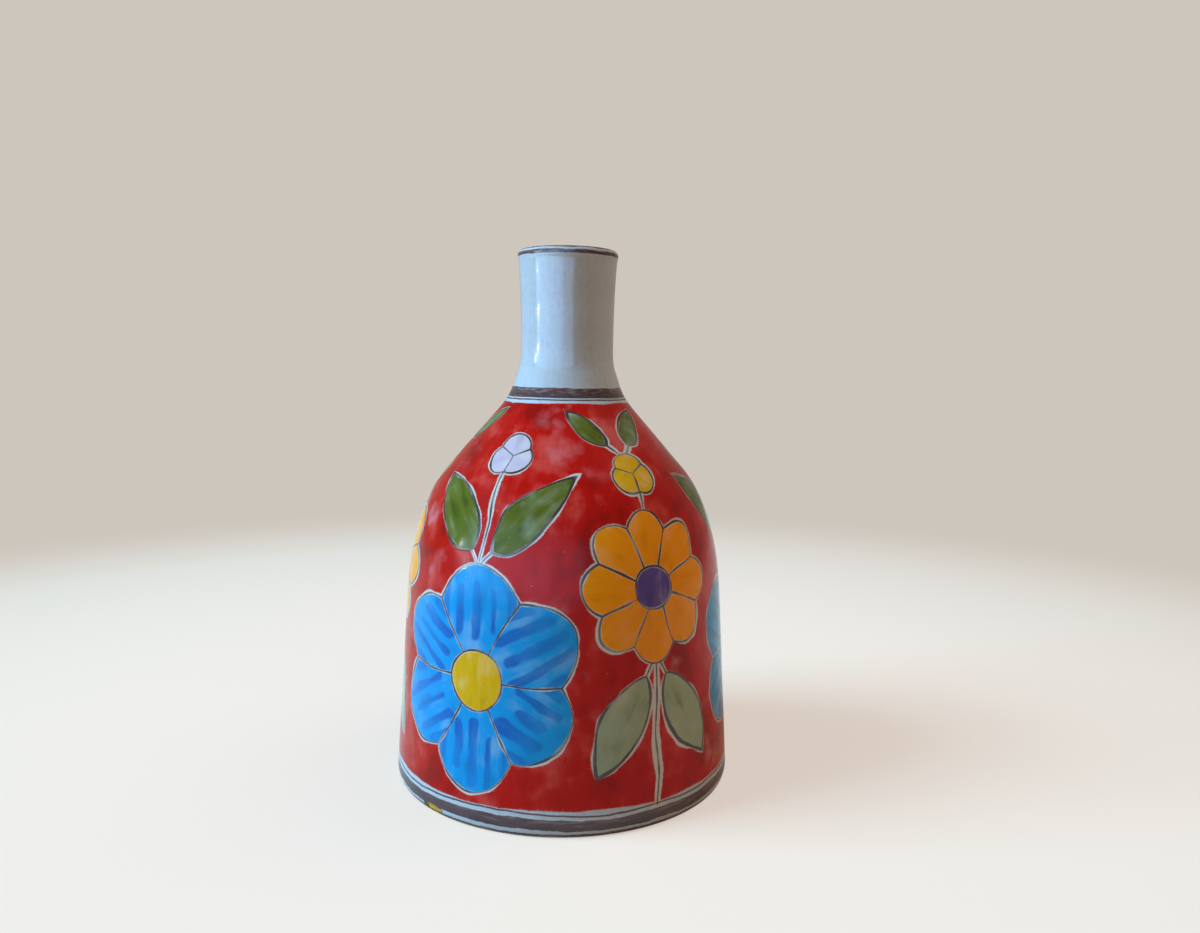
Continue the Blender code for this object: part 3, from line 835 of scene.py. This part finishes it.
def make_azure(brush, flower):
    """Azure petals with darker strokes of a broad brush along each petal."""
    nodes, colours, painting = brush.nodes, brush.colours, brush.painting
    across, out = flower["Across"], flower["Out"]
    thin = brush.streaks(across, out, 260.0, 11.0) * 0.5 + nodes.noise(brush.place, 80.0) * 0.8
    azure = uneven(nodes, thin, colours.azure, 0.72, 0.14)
    reach = painting.blue_flower_radius
    half = painting.stroke_apart / 2
    number = nodes.math("ROUND", across / painting.stroke_apart)
    spot = nodes.join(number * 3.1 + 0.4, flower["Petal"] * 5.3 + 0.7, 0.0)
    start = (nodes.noise(spot, 1.0, 0.0, 13.0) * 0.1 + 0.42) * reach
    end = (nodes.noise(spot, 1.0, 0.0, 14.0) * 0.1 + 0.82) * reach
    beside = nodes.math("WRAP", across, half, -half)
    beyond = nodes.highest(out - end, start - out, 0.0)
    away = nodes.hypotenuse(beside, beyond) + brush.press * 0.0006 + brush.shake * 0.7
    away = away + nodes.noise(spot, 1.0, 0.0, 15.0) * 0.0006
    stroke = nodes.fade(away, painting.stroke_width * 0.62, painting.stroke_width * 0.3)
    loaded = nodes.fade(out, start + 0.012, start)
    dry = nodes.fade(out, end - 0.010, end + 0.002)
    strength = nodes.fade(brush.streaks(across, out, 420.0, 12.0), -1.4, 1.2)
    strength = strength * 0.45 + loaded * 0.25 - dry * 0.25 + 0.4
    return mix(nodes, stroke * strength, azure, colours.stroke)


def make_enamel(brush, colour, across, along, seed, keep=0.7, add=0.2):
    """One enamel, brushed along its field."""
    nodes = brush.nodes
    thin = brush.streaks(across, along, 330.0, seed) * 0.7 + nodes.noise(brush.place, 110.0) * 0.6
    return uneven(nodes, thin, colour, keep, add)


def make_olive(brush, leaves, seed):
    """Olive leaves, greyer where the enamel thins."""
    nodes, colours = brush.nodes, brush.colours
    along = leaves["Along"] * LEAF_RUN
    olive = make_enamel(brush, colours.olive, leaves["Across"], along, seed, 0.55, 0.1)
    thin = nodes.fade(nodes.noise(brush.place, 85.0, 2.0, seed + 0.5), 0.0, 1.0)
    return mix(nodes, thin * 0.75, olive, colours.sage)


def make_sage(brush, leaves, seed):
    """Sage leaves, brushed along their length."""
    along = leaves["Along"] * LEAF_RUN
    return make_enamel(brush, brush.colours.sage, leaves["Across"], along, seed, 0.6, 0.15)


def make_motifs(brush, red_bottom):
    """The flowers, leaves, buds and stalks of one repeat, each placed by the one below it."""
    nodes, painting, colours = brush.nodes, brush.painting, brush.colours
    flower = flower_tree()
    leaf = leaf_tree()
    between = painting.first_turn + math.pi / painting.repeats
    line, leaf_line = painting.line_width, painting.leaf_line_width
    blue_rise = red_bottom + painting.blue_flower_clear + painting.blue_flower_radius
    olive_rise = blue_rise + painting.blue_flower_radius + painting.leaf_start
    olive_reach = painting.olive_leaf_length * math.cos(painting.olive_leaf_lean)
    lilac_rise = olive_rise + olive_reach + painting.bud_radius
    orange_rise = blue_rise + painting.orange_flower_lift
    sage_rise = orange_rise - painting.orange_flower_radius - painting.leaf_start
    yellow_rise = orange_rise + painting.orange_flower_radius + painting.leaf_start
    yellow_rise += painting.bud_radius
    small_rise = yellow_rise + painting.bud_radius + painting.leaf_start

    def flower_at(turn, rise, radius, petals, notch, eye):
        x, y = brush.spot(turn, rise)
        inputs = {"X": x, "Y": y, "Radius": radius, "Petals": petals, "Notch": notch, "Eye": eye}
        return nodes.group(flower, inputs)

    def leaf_at(turn, rise, name, lean):
        x, y = brush.spot(turn, rise)
        inputs = {"X": x, "Y": y, "Start": painting.leaf_start, "Lean": lean}
        for size in ("length", "width"):
            inputs[size.capitalize()] = getattr(painting, name + "_leaf_" + size)
        return nodes.group(leaf, inputs)

    def stalk(away, *over):
        """A drawn stalk, which ends where a flower lies over it."""
        away = nodes.highest(away, *(-drawing["Edge"] for drawing in over))
        return Motif(away - line / 2, away, line, [])

    def stem(turn, low, high, *over):
        """A stalk that runs straight up between two rises."""
        x, y = brush.spot(turn, 0.0)
        return stalk(nodes.hypotenuse(x, nodes.highest(y - high, low - y, 0.0)), *over)

    def plain(drawing, drawn, line_width, enamel):
        """A motif with one enamel inside its drawn lines."""
        return Motif(drawing["Edge"], drawing[drawn], line_width, [(drawing[drawn], enamel)])

    def petals(drawing, name, seed, **shades):
        colour = getattr(colours, name)
        return make_enamel(brush, colour, drawing["Across"], drawing["Out"], seed, **shades)

    def eye(name, seed):
        colour = getattr(colours, name)
        return make_enamel(brush, colour, brush.turn * ROUND_BELL, brush.rise, seed)

    blue = flower_at(
        painting.first_turn, blue_rise, painting.blue_flower_radius, painting.blue_petals,
        painting.blue_notch, painting.blue_eye_radius,
    )
    orange = flower_at(
        between, orange_rise, painting.orange_flower_radius, painting.orange_petals,
        painting.orange_notch, painting.orange_eye_radius,
    )
    bud = (painting.bud_radius, painting.bud_petals, painting.bud_notch, 0.0)
    lilac = flower_at(painting.first_turn, lilac_rise, *bud)
    yellow = flower_at(between, yellow_rise, *bud)
    olive = leaf_at(painting.first_turn, olive_rise, "olive", painting.olive_leaf_lean)
    sage = leaf_at(between, sage_rise, "sage", math.pi - painting.sage_leaf_lean)
    small = leaf_at(between, small_rise, "small", painting.small_leaf_lean)
    return [
        Motif(blue["Edge"], blue["Drawn"], line, [
            (blue["Drawn"], make_azure(brush, blue)),
            (blue["Eye edge"], eye("yellow", 21.0)),
        ]),
        Motif(orange["Edge"], orange["Drawn"], line, [
            (orange["Drawn"], petals(orange, "orange", 22.0, keep=0.85, add=0.1)),
            (orange["Eye edge"], eye("violet", 23.0)),
        ]),
        plain(lilac, "Drawn", line, petals(lilac, "lilac", 24.0)),
        plain(yellow, "Drawn", line, petals(yellow, "yellow", 25.0)),
        plain(olive, "Edge", leaf_line, make_olive(brush, olive, 26.0)),
        plain(sage, "Edge", leaf_line, make_sage(brush, sage, 27.0)),
        plain(small, "Edge", leaf_line, make_olive(brush, small, 28.0)),
        stalk(olive["Stalk"], blue),
        stalk(sage["Stalk"], orange),
        stalk(small["Stalk"], yellow),
        stem(painting.first_turn, blue_rise, lilac_rise, blue, lilac),
        stem(between, red_bottom - painting.red_bottom_gap, yellow_rise, orange, yellow),
    ]


def make_red(brush):
    """The red ground: deep and lively reds, with small cloudy patches where it is thin."""
    nodes, colours = brush.nodes, brush.colours
    broad = nodes.noise(brush.place, 42.0, 2.0, 31.0)
    dabs = nodes.noise(brush.place, 130.0, 2.0, 35.0)
    brushed = brush.streaks(brush.turn * ROUND_BELL, brush.rise, 260.0, 32.0)
    red = wash(
        nodes, broad * 0.9 + dabs * 0.6 + brushed * 0.25,
        darker(colours.red, 0.62), colours.red, colours.blush,
    )
    thin = nodes.fade(nodes.noise(brush.place, 24.0, 1.0, 34.0), -0.2, 0.6)
    milky = nodes.fade(nodes.noise(brush.place, 90.0, 3.0, 33.0), 0.05, 0.95)
    return mix(nodes, thin * milky * 0.75, red, colours.milk)


def make_bare_glaze(brush):
    """The pale glaze, with faint streaks and specks."""
    nodes, colours = brush.nodes, brush.colours
    runs = brush.streaks(brush.turn * ROUND_BAND, brush.rise, 700.0, 41.0)
    mottle = nodes.noise(brush.place, 520.0, 3.0, 42.0)
    glaze = uneven(nodes, runs * 0.5 + mottle * 0.6, colours.glaze, 0.87, 0.12)
    specks = nodes.fade(nodes.noise(brush.place, 1000.0, 1.0, 43.0), 0.7, 1.2)
    return mix(nodes, specks * 0.16, glaze, darker(colours.clay, 0.6))


def make_bands(brush, marks):
    """The dark bands and lines, how high a point lies in them, and the red ground's two ends."""
    nodes, painting = brush.nodes, brush.painting
    throat = marks.rise(marks.throat) + painting.collar_band_rise
    lip = marks.rise(marks.lip)
    ground = marks.rise(marks.ground)
    collar_line = throat - painting.collar_line_drop
    foot_band = ground + painting.foot_band_rise
    foot_line = foot_band + painting.foot_band_width + painting.foot_line_gap
    foot_edge = ground + painting.foot_edge_rise
    drift = nodes.noise(brush.place, 16.0, 1.0, 51.0)
    wave = nodes.noise(brush.place, 60.0, 1.0, 52.0)
    ragged = brush.shake * 0.7 + brush.grain * 0.00005
    brushed = brush.streaks(brush.turn * ROUND_BAND, brush.rise * 0.3, 260.0, 53.0)
    foot_rise = brush.rise + ragged * 1.2 + drift * 0.0005 + wave * 0.0003 + brushed * 0.00008
    line_rise = brush.rise + ragged * 0.6 + drift * 0.0009 + wave * 0.0004
    neck_rise = brush.rise + ragged * 0.7 + wave * 0.00015
    spans = (
        (neck_rise, lip + painting.mouth_line_rise, painting.mouth_line_width),
        (neck_rise, lip + painting.rim_line_rise - painting.rim_line_width,
         painting.rim_line_width),
        (neck_rise, throat, painting.collar_band_width),
        (neck_rise, collar_line - painting.collar_line_width, painting.collar_line_width),
        (line_rise, foot_line, painting.foot_line_width),
        (foot_rise, foot_band, painting.foot_band_width),
        (brush.rise + ragged, foot_edge, painting.foot_edge_width),
    )
    masks = [nodes.between(rise, low, low + width, BAND_EDGE) for rise, low, width in spans]
    levels = [
        mask * nodes.fade(rise, low, low + width) for mask, (rise, low, width) in zip(masks, spans)
    ]
    red_top = collar_line - painting.collar_line_width - painting.red_top_drop
    red_bottom = foot_line + painting.foot_line_width + painting.red_bottom_gap
    return nodes.highest(*masks), nodes.highest(*levels), red_bottom, red_top


def make_oxide(brush, level):
    """The dark oxide of the bands, deeper at the lower edge and streaked along the brush."""
    nodes = brush.nodes
    streak = brush.streaks(brush.rise, brush.turn * ROUND_BAND, 1100.0, 71.0)
    pools = nodes.noise(brush.place, 45.0, 1.0, 72.0)
    thick = streak * 1.2 + pools * 0.5 + brush.grain * 0.15 + 0.45 - level * 0.8
    return uneven(nodes, thick, brush.colours.oxide, 0.35, 0.1)


def make_chip(brush, coats):
    """Where the foot is chipped, and the clay that shows there, dark towards the chip's edge."""
    nodes, colours = brush.nodes, brush.colours
    out = out_from_chip(
        nodes, brush.place, coats.chip_turn, coats.chip_rise, coats.chip_width, coats.chip_height
    )
    bare = uneven(nodes, brush.grain, colours.gold, 0.6, 0.2)
    bare = mix(nodes, nodes.fade(out, 0.55, 0.85) * 0.9, bare, darker(colours.oxide, 0.4))
    return nodes.fade(out, 1.0, 0.9), bare


def make_rings(brush, coats):
    """The potter's rings, from -1 to 1 on the neck and a quarter of that below it."""
    nodes = brush.nodes
    turn = (brush.z - coats.rings_start) * math.tau / coats.rings_apart
    on_neck = nodes.fade(brush.z, coats.rings_start - 0.035, coats.rings_start - 0.02)
    return nodes.math("SINE", turn) * (on_neck * 0.75 + 0.25)


def inside_red(brush, clear, red_bottom, red_top):
    """How far a point lies inside the red ground, from its distance to the nearest motif."""
    nodes = brush.nodes
    wander = nodes.noise(brush.place, 50.0, 1.0, 61.0)
    left_bare = nodes.highest(wander * 0.8 + brush.press * 0.6 + 0.75, 0.2)
    inside = nodes.lowest(
        clear - left_bare * brush.painting.reserve,
        brush.rise + wander * 0.0005 - red_bottom,
        red_top - wander * 0.0006 - brush.rise,
    )
    return inside + (brush.shake * 0.5 + brush.grain * 0.00014)


def painted_glaze(colours, painting, coats, marks):
    """The outer glaze with all its painting."""
    material, nodes, shader, place = new_material("painted_glaze")
    brush = Brush(nodes, place, painting, colours)
    dark, level, red_bottom, red_top = make_bands(brush, marks)
    motifs = make_motifs(brush, red_bottom)

    clear = nodes.lowest(*(motif.edge for motif in motifs))
    inside = inside_red(brush, clear, red_bottom, red_top)
    red = nodes.fade(inside, -RED_OUT, RED_IN)
    drawn = nodes.lowest(*(abs(motif.drawn) - motif.line_width / 2 for motif in motifs))
    drawn = drawn - brush.press * painting.line_width * 0.35 + brush.grain * 0.00007
    line = nodes.fade(drawn, LINE_EDGE, -LINE_EDGE)

    colour = make_bare_glaze(brush)
    creamy = nodes.fade(clear, CREAM_REACH, CREAM_REACH / 2)
    colour = mix(nodes, creamy * 0.8, colour, colours.cream)
    colour = mix(nodes, red, colour, make_red(brush))
    speckled = nodes.fade(inside, painting.spray, 0.0)
    dots = nodes.fade(nodes.noise(place, 1700.0, 1.0, 62.0), 0.5, 0.9)
    colour = mix(nodes, red * speckled * dots * 0.4, colour, paler(colours.milk, 0.3))
    cover = red
    for motif in motifs:
        for distance, enamel in motif.fields:
            field = brush.covered(distance, painting.fill_inset)
            colour = mix(nodes, field, colour, enamel)
            cover = nodes.highest(cover, field)
    colour = mix(nodes, dark * 0.96, colour, make_oxide(brush, level))
    faint = nodes.fade(nodes.noise(place, 75.0, 2.0, 63.0), -0.2, 0.9) * 0.45
    colour = mix(nodes, line * (0.96 - faint), colour, colours.line)
    specks = nodes.noise(place, 1100.0, 1.0, 81.0)
    specks = nodes.fade(specks, 1.0, 1.25) * (cover * 0.5 + dark)
    colour = mix(nodes, specks * 0.8, colour, paler(colours.glaze, 0.3))
    chip, bare = make_chip(brush, coats)
    colour = mix(nodes, chip, colour, bare)

    rough = 0.13 + red * 0.08 + dark * 0.1 + line * 0.08 + brush.grain * 0.01
    rough = nodes.highest(rough, chip * 0.9)
    height = cover * 0.35 + dark * 0.25 - line * 0.15 + nodes.noise(place, 160.0, 2.0, 82.0) * 0.1
    height = height + brush.grain * 0.03 + chip * brush.grain * 1.5
    height = height - make_rings(brush, coats) * coats.ring_depth / RELIEF
    nodes.feed(shader.inputs["Specular IOR Level"], 0.5 - cover * 0.35)
    finish(nodes, shader, colour, rough, height)
    return material


def bare_clay(colours):
    """Sandy fired clay, as the foot ring shows it."""
    material, nodes, shader, place = new_material("bare_clay")
    sand = nodes.noise(place, 1400.0, 4.0, 1.0)
    stain = nodes.noise(place, 60.0, 3.0, 2.0)
    colour = uneven(nodes, sand * 0.5 + stain * 0.7, colours.clay, 0.6, 0.2)
    finish(nodes, shader, colour, 0.86 + sand * 0.05, sand + stain * 0.5, RELIEF * 2)
    return material


def lining_glaze(colours):
    """The glaze inside, thinner and duller than outside."""
    material, nodes, shader, place = new_material("lining_glaze")
    pools = nodes.noise(place, 40.0, 3.0, 3.0)
    mottle = nodes.noise(place, 500.0, 3.0, 4.0)
    colour = uneven(nodes, pools * 0.6 + mottle * 0.5, colours.lining, 0.8, 0.12)
    finish(nodes, shader, colour, 0.24 + mottle * 0.03, pools + mottle * 0.2)
    return material


def floor_finish(stage):
    """A pale table top without a sheen, which passes into the background further out."""
    material, nodes, shader, place = new_material("pale_floor")
    shader.inputs["Specular IOR Level"].default_value = 0.0
    x, y, _ = nodes.split(place)
    far = nodes.fade(nodes.hypotenuse(x, y), stage.floor_near, stage.floor_far)
    ray = nodes.add("ShaderNodeLightPath").outputs
    seen, lit_by = Number(nodes, ray["Is Camera Ray"]), Number(nodes, ray["Is Diffuse Ray"])
    nodes.feed(shader.inputs["Base Color"], mix(nodes, lit_by, stage.floor, stage.bounce))
    shown = mix(nodes, far, stage.floor, stage.background)
    pale = nodes.add("ShaderNodeEmission", {"Color": shown})
    part = seen * nodes.highest(far, stage.floor_glow)
    inputs = {0: part, 1: shader.outputs[0], 2: pale.outputs[0]}
    both = nodes.add("ShaderNodeMixShader", inputs)
    nodes.feed(nodes.tree.nodes["Material Output"].inputs["Surface"], both.outputs[0])
    return material


# Unwrapping
# Where the rows of the map for a bake start, and how high they are
SECOND_BELL_ROW, BELL_HEIGHT = 0.41, 0.40
NECK_ROW, NECK_HEIGHT = 0.82, 0.13
BACK_ROW, BACK_HEIGHT = 0.96, 0.03


def lay_flat(mesh, start_turn, bell_end, front_end):
    """The map for a bake: two rows of half a turn for the bell, then the neck, then the back."""
    total = len(mesh.polygons)
    corners = numpy.empty(total * 4, dtype=numpy.int32)
    mesh.loops.foreach_get("vertex_index", corners)
    places = numpy.empty(len(mesh.vertices) * 3)
    mesh.vertices.foreach_get("co", places)
    places = places.reshape(-1, 3)
    along = numpy.empty(len(mesh.vertices))
    mesh.attributes["along"].data.foreach_get("value", along)
    end = along.max()
    turns = (numpy.arctan2(places[:, 1], places[:, 0]) - start_turn) / math.tau % 1.0
    turns = turns[corners].reshape(-1, 4)
    along = along[corners].reshape(-1, 4)
    turns += (turns.max(axis=1, keepdims=True) - turns > 0.5) * 1.0
    along += (along.max(axis=1, keepdims=True) - along > end / 2) * end
    middle = along.mean(axis=1, keepdims=True)
    half = (turns.mean(axis=1, keepdims=True) > 0.5) * 1.0
    on_bell = middle < bell_end
    on_neck = (middle < front_end) & ~on_bell
    across = numpy.where(on_bell, turns * 2 - half, turns)
    bell = half * SECOND_BELL_ROW + along / bell_end * BELL_HEIGHT
    neck = NECK_ROW + (along - bell_end) / (front_end - bell_end) * NECK_HEIGHT
    back = BACK_ROW + (along - front_end) / (end - front_end) * BACK_HEIGHT
    up = numpy.where(on_bell, bell, numpy.where(on_neck, neck, back))
    layer = mesh.uv_layers.new(name="OFBake")
    layer.data.foreach_set("uv", numpy.stack((across, up), axis=-1).ravel())


# Pieces
# How far apart a profile's points lie, by where they are
FOOT_STEP, BELL_STEP, NECK_STEP, LIP_STEP, HIDDEN_STEP = 0.0003, 0.0009, 0.0012, 0.0004, 0.003


def clay_form(scene):
    """The clay's outline, and where the coats lie along it."""
    outline = clay_outline(scene.vase_shape)
    return outline, Marks(outline, scene.vase_shape, scene.vase_coats)


class VASE_OT_clay_body(bpy.types.Operator):
    """Turn the clay body, which shows at the foot ring"""

    bl_idname = "vase.clay_body"
    bl_label = "Clay body"

    def execute(self, context):
        scene = context.scene
        outline, marks = clay_form(scene)
        profile = Profile()
        for point, along in zip(reversed(outline.points), reversed(outline.lengths)):
            profile.add(point, marks.rise(along))
        material = bare_clay(scene.vase_colours)
        piece = turn_piece("clay_body_turned", profile, scene.vase_coats, material)
        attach(piece, "root")
        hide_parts("clay_body")
        return {"FINISHED"}


class VASE_OT_lining(bpy.types.Operator):
    """Coat the inside of the vase with its lining glaze"""

    bl_idname = "vase.lining"
    bl_label = "Lining glaze"

    def execute(self, context):
        scene = context.scene
        coats = scene.vase_coats
        outline, marks = clay_form(scene)
        end = marks.glaze_start - coats.gap
        profile = Profile()
        profile.run(outline, marks, end, 0.0, coats.gap + coats.glaze_thickness, HIDDEN_STEP)
        profile.run(outline, marks, 0.0, end, coats.gap, HIDDEN_STEP)
        profile.close()
        piece = turn_piece("lining_glaze", profile, coats, lining_glaze(scene.vase_colours))
        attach(piece, "root")
        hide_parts("inner_glaze")
        return {"FINISHED"}


class VASE_OT_painted_glaze(bpy.types.Operator):
    """Coat the outside of the vase with its glaze, and paint it"""

    bl_idname = "vase.painted_glaze"
    bl_label = "Painted glaze"

    def execute(self, context):
        scene = context.scene
        shape, coats = scene.vase_shape, scene.vase_coats
        outline, marks = clay_form(scene)
        bare = coats.gap + coats.glaze_thickness

        def smooth(value):
            value = min(max(value, 0.0), 1.0)
            return value * value * (3 - 2 * value)

        def surface(length):
            """How far off the clay the glaze's outer face lies."""
            painted = smooth((length - marks.neck) / coats.paint_fade + 0.5)
            painted *= smooth((marks.glaze_end - length) / coats.foot_fade)
            top = marks.lip - shape.wall_thickness / 2
            beaded = 1 - smooth(abs(length - top) / shape.wall_thickness)
            return bare + painted * coats.paint_thickness + beaded * coats.lip_bead

        profile = Profile()
        profile.run(outline, marks, marks.glaze_end, marks.foot, surface, FOOT_STEP)
        profile.run(outline, marks, marks.foot, marks.neck, surface, BELL_STEP)
        bell_end = profile.alongs()[-1]
        profile.run(outline, marks, marks.neck, marks.lip, surface, NECK_STEP)
        profile.run(outline, marks, marks.lip, marks.glaze_start, surface, LIP_STEP)
        front_end = profile.alongs()[-1]
        profile.run(outline, marks, marks.glaze_start, marks.glaze_end, coats.gap, HIDDEN_STEP)
        profile.close()
        material = painted_glaze(scene.vase_colours, scene.vase_painting, coats, marks)
        piece = turn_piece("painted_glaze", profile, coats, material, coats.chip_depth)
        lay_flat(piece.data, coats.seam_turn, bell_end, front_end)
        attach(piece, "root")
        covered = [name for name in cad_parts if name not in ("clay_body", "inner_glaze")]
        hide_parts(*covered)
        return {"FINISHED"}


class VASE_OT_stage(bpy.types.Operator):
    """Set up the floor, the soft light and the camera"""

    bl_idname = "vase.stage"
    bl_label = "Stage"

    def execute(self, context):
        stage = context.scene.vase_stage
        make_floor(stage)
        cool, warm, mild = (0.49, 0.81, 1.0), (1.0, 0.7, 0.46), (1.0, 0.82, 0.64)
        blue, sky = (0.34, 0.6, 1.0), (0.9, 0.96, 1.0)
        # Each lamp's name, power, size, place and colour, and whether it is only a mirror image
        lamps = (
            ("key", stage.key_power, (1.95, 1.95), (-2.8, -0.6, 2.1), cool, False),
            ("window", stage.window_power, (1.71, 0.5), (-0.41, -0.69, 0.3), blue, True),
            ("inner", stage.inner_power, (1.09, 0.3), (-0.55, -0.58, 0.2), blue, True),
            ("fill", stage.fill_power, (0.9, 0.7), (1.3, 0.4, 0.5), warm, False),
            ("front", stage.front_power, (1.2, 1.0), (0.9, -1.3, 0.7), warm, False),
            ("top", stage.top_power, (1.2, 1.2), (1.1, 0.2, 2.1), mild, False),
            ("low_glint", stage.glint_power, (0.05, 0.04), (-1.41, -0.43, 0.28), sky, True),
            ("high_glint", stage.glint_power, (0.06, 0.1), (-1.29, -0.21, 0.35), sky, True),
        )
        for lamp in lamps:
            make_lamp(*lamp)
        make_room(stage)
        make_camera(stage)
        return {"FINISHED"}


FLOOR_SIDES = 64
LAMP_AIM = Vector((0.0, 0.0, 0.09))


def make_floor(stage):
    """The round table top, level with the foot."""
    mesh = bpy.data.meshes.new("floor")
    reach = stage.floor_radius
    turns = [math.tau * step / FLOOR_SIDES for step in range(FLOOR_SIDES)]
    ring = [(reach * math.cos(turn), reach * math.sin(turn), 0.0) for turn in turns]
    mesh.from_pydata(ring, [], [tuple(range(FLOOR_SIDES))])
    mesh.materials.append(floor_finish(stage))
    new_object("floor", mesh)


def make_lamp(name, power, size, place, colour, mirrored):
    """A rectangular lamp that faces the vase, as a soft light or as an image in its glaze."""
    light = bpy.data.lights.new(name, "AREA")
    light.shape = "RECTANGLE"
    light.size, light.size_y = size
    light.energy = power
    light.color = colour
    lamp = new_object(name, light)
    lamp.location = place
    aim = LAMP_AIM - lamp.location
    lamp.rotation_euler = aim.to_track_quat("-Z", "Y").to_euler()
    lamp.visible_camera = False
    lamp.visible_glossy = mirrored
    lamp.visible_diffuse = not mirrored


def make_room(stage):
    """Even light all round, with a pale background behind the vase."""
    world = bpy.data.worlds.new("room")
    bpy.context.scene.world = world
    world.use_nodes = True
    nodes = Nodes(world.node_tree)
    nodes.tree.nodes.clear()
    light = nodes.add("ShaderNodeBackground", {"Color": (1.0, 0.72, 0.48, 1.0)})
    light.inputs["Strength"].default_value = stage.room
    pale = nodes.add("ShaderNodeBackground", {"Color": solid(stage.background)})
    ray = nodes.add("ShaderNodeLightPath").outputs
    seen = Number(nodes, ray["Is Camera Ray"]) + Number(nodes, ray["Is Glossy Ray"]) * 0.5
    both = nodes.add("ShaderNodeMixShader", {0: seen, 1: light.outputs[0], 2: pale.outputs[0]})
    nodes.add("ShaderNodeOutputWorld", {0: both.outputs[0]})


def make_camera(stage):
    """The camera, placed and turned as it was for the photograph."""
    data = bpy.data.cameras.new("camera")
    data.lens = stage.lens
    data.sensor_width = 36.0
    data.sensor_fit = "HORIZONTAL"
    data.clip_start = 0.01
    camera = new_object("camera", data)
    pitch = Matrix.Rotation(math.pi / 2 - stage.camera_pitch, 4, "X")
    roll = Matrix.Rotation(stage.camera_roll, 4, "Z")
    camera.matrix_world = Matrix.Translation(stage.camera_place) @ pitch @ roll
    bpy.context.scene.camera = camera


OPERATORS = (VASE_OT_clay_body, VASE_OT_lining, VASE_OT_painted_glaze, VASE_OT_stage)
GROUPS = {
    "vase_shape": VaseShape,
    "vase_coats": VaseCoats,
    "vase_painting": VasePainting,
    "vase_colours": VaseColours,
    "vase_stage": VaseStage,
}


class VASE_PT_panel(bpy.types.Panel):
    """The vase's operators and sizes"""

    bl_idname = "VASE_PT_panel"
    bl_label = "Painted Vase"
    bl_space_type = "VIEW_3D"
    bl_region_type = "UI"
    bl_category = "Vase"

    def draw(self, context):
        for operator in OPERATORS:
            self.layout.operator(operator.bl_idname)
        for name, group in GROUPS.items():
            box = self.layout.box()
            box.label(text=group.__doc__)
            for field in group.__annotations__:
                box.prop(getattr(context.scene, name), field)


def register():
    for group in GROUPS.values():
        bpy.utils.register_class(group)
    for name, group in GROUPS.items():
        setattr(bpy.types.Scene, name, PointerProperty(type=group))
    for each in (*OPERATORS, VASE_PT_panel):
        bpy.utils.register_class(each)


def unregister():
    for each in (VASE_PT_panel, *reversed(OPERATORS)):
        bpy.utils.unregister_class(each)
    for name, group in GROUPS.items():
        delattr(bpy.types.Scene, name)
        bpy.utils.unregister_class(group)


def main():
    register()
    bpy.context.scene.view_settings.view_transform = "Standard"
    bpy.ops.vase.clay_body()
    bpy.ops.vase.lining()
    bpy.ops.vase.painted_glaze()
    bpy.ops.vase.stage()


if __name__ == "__main__":
    main()
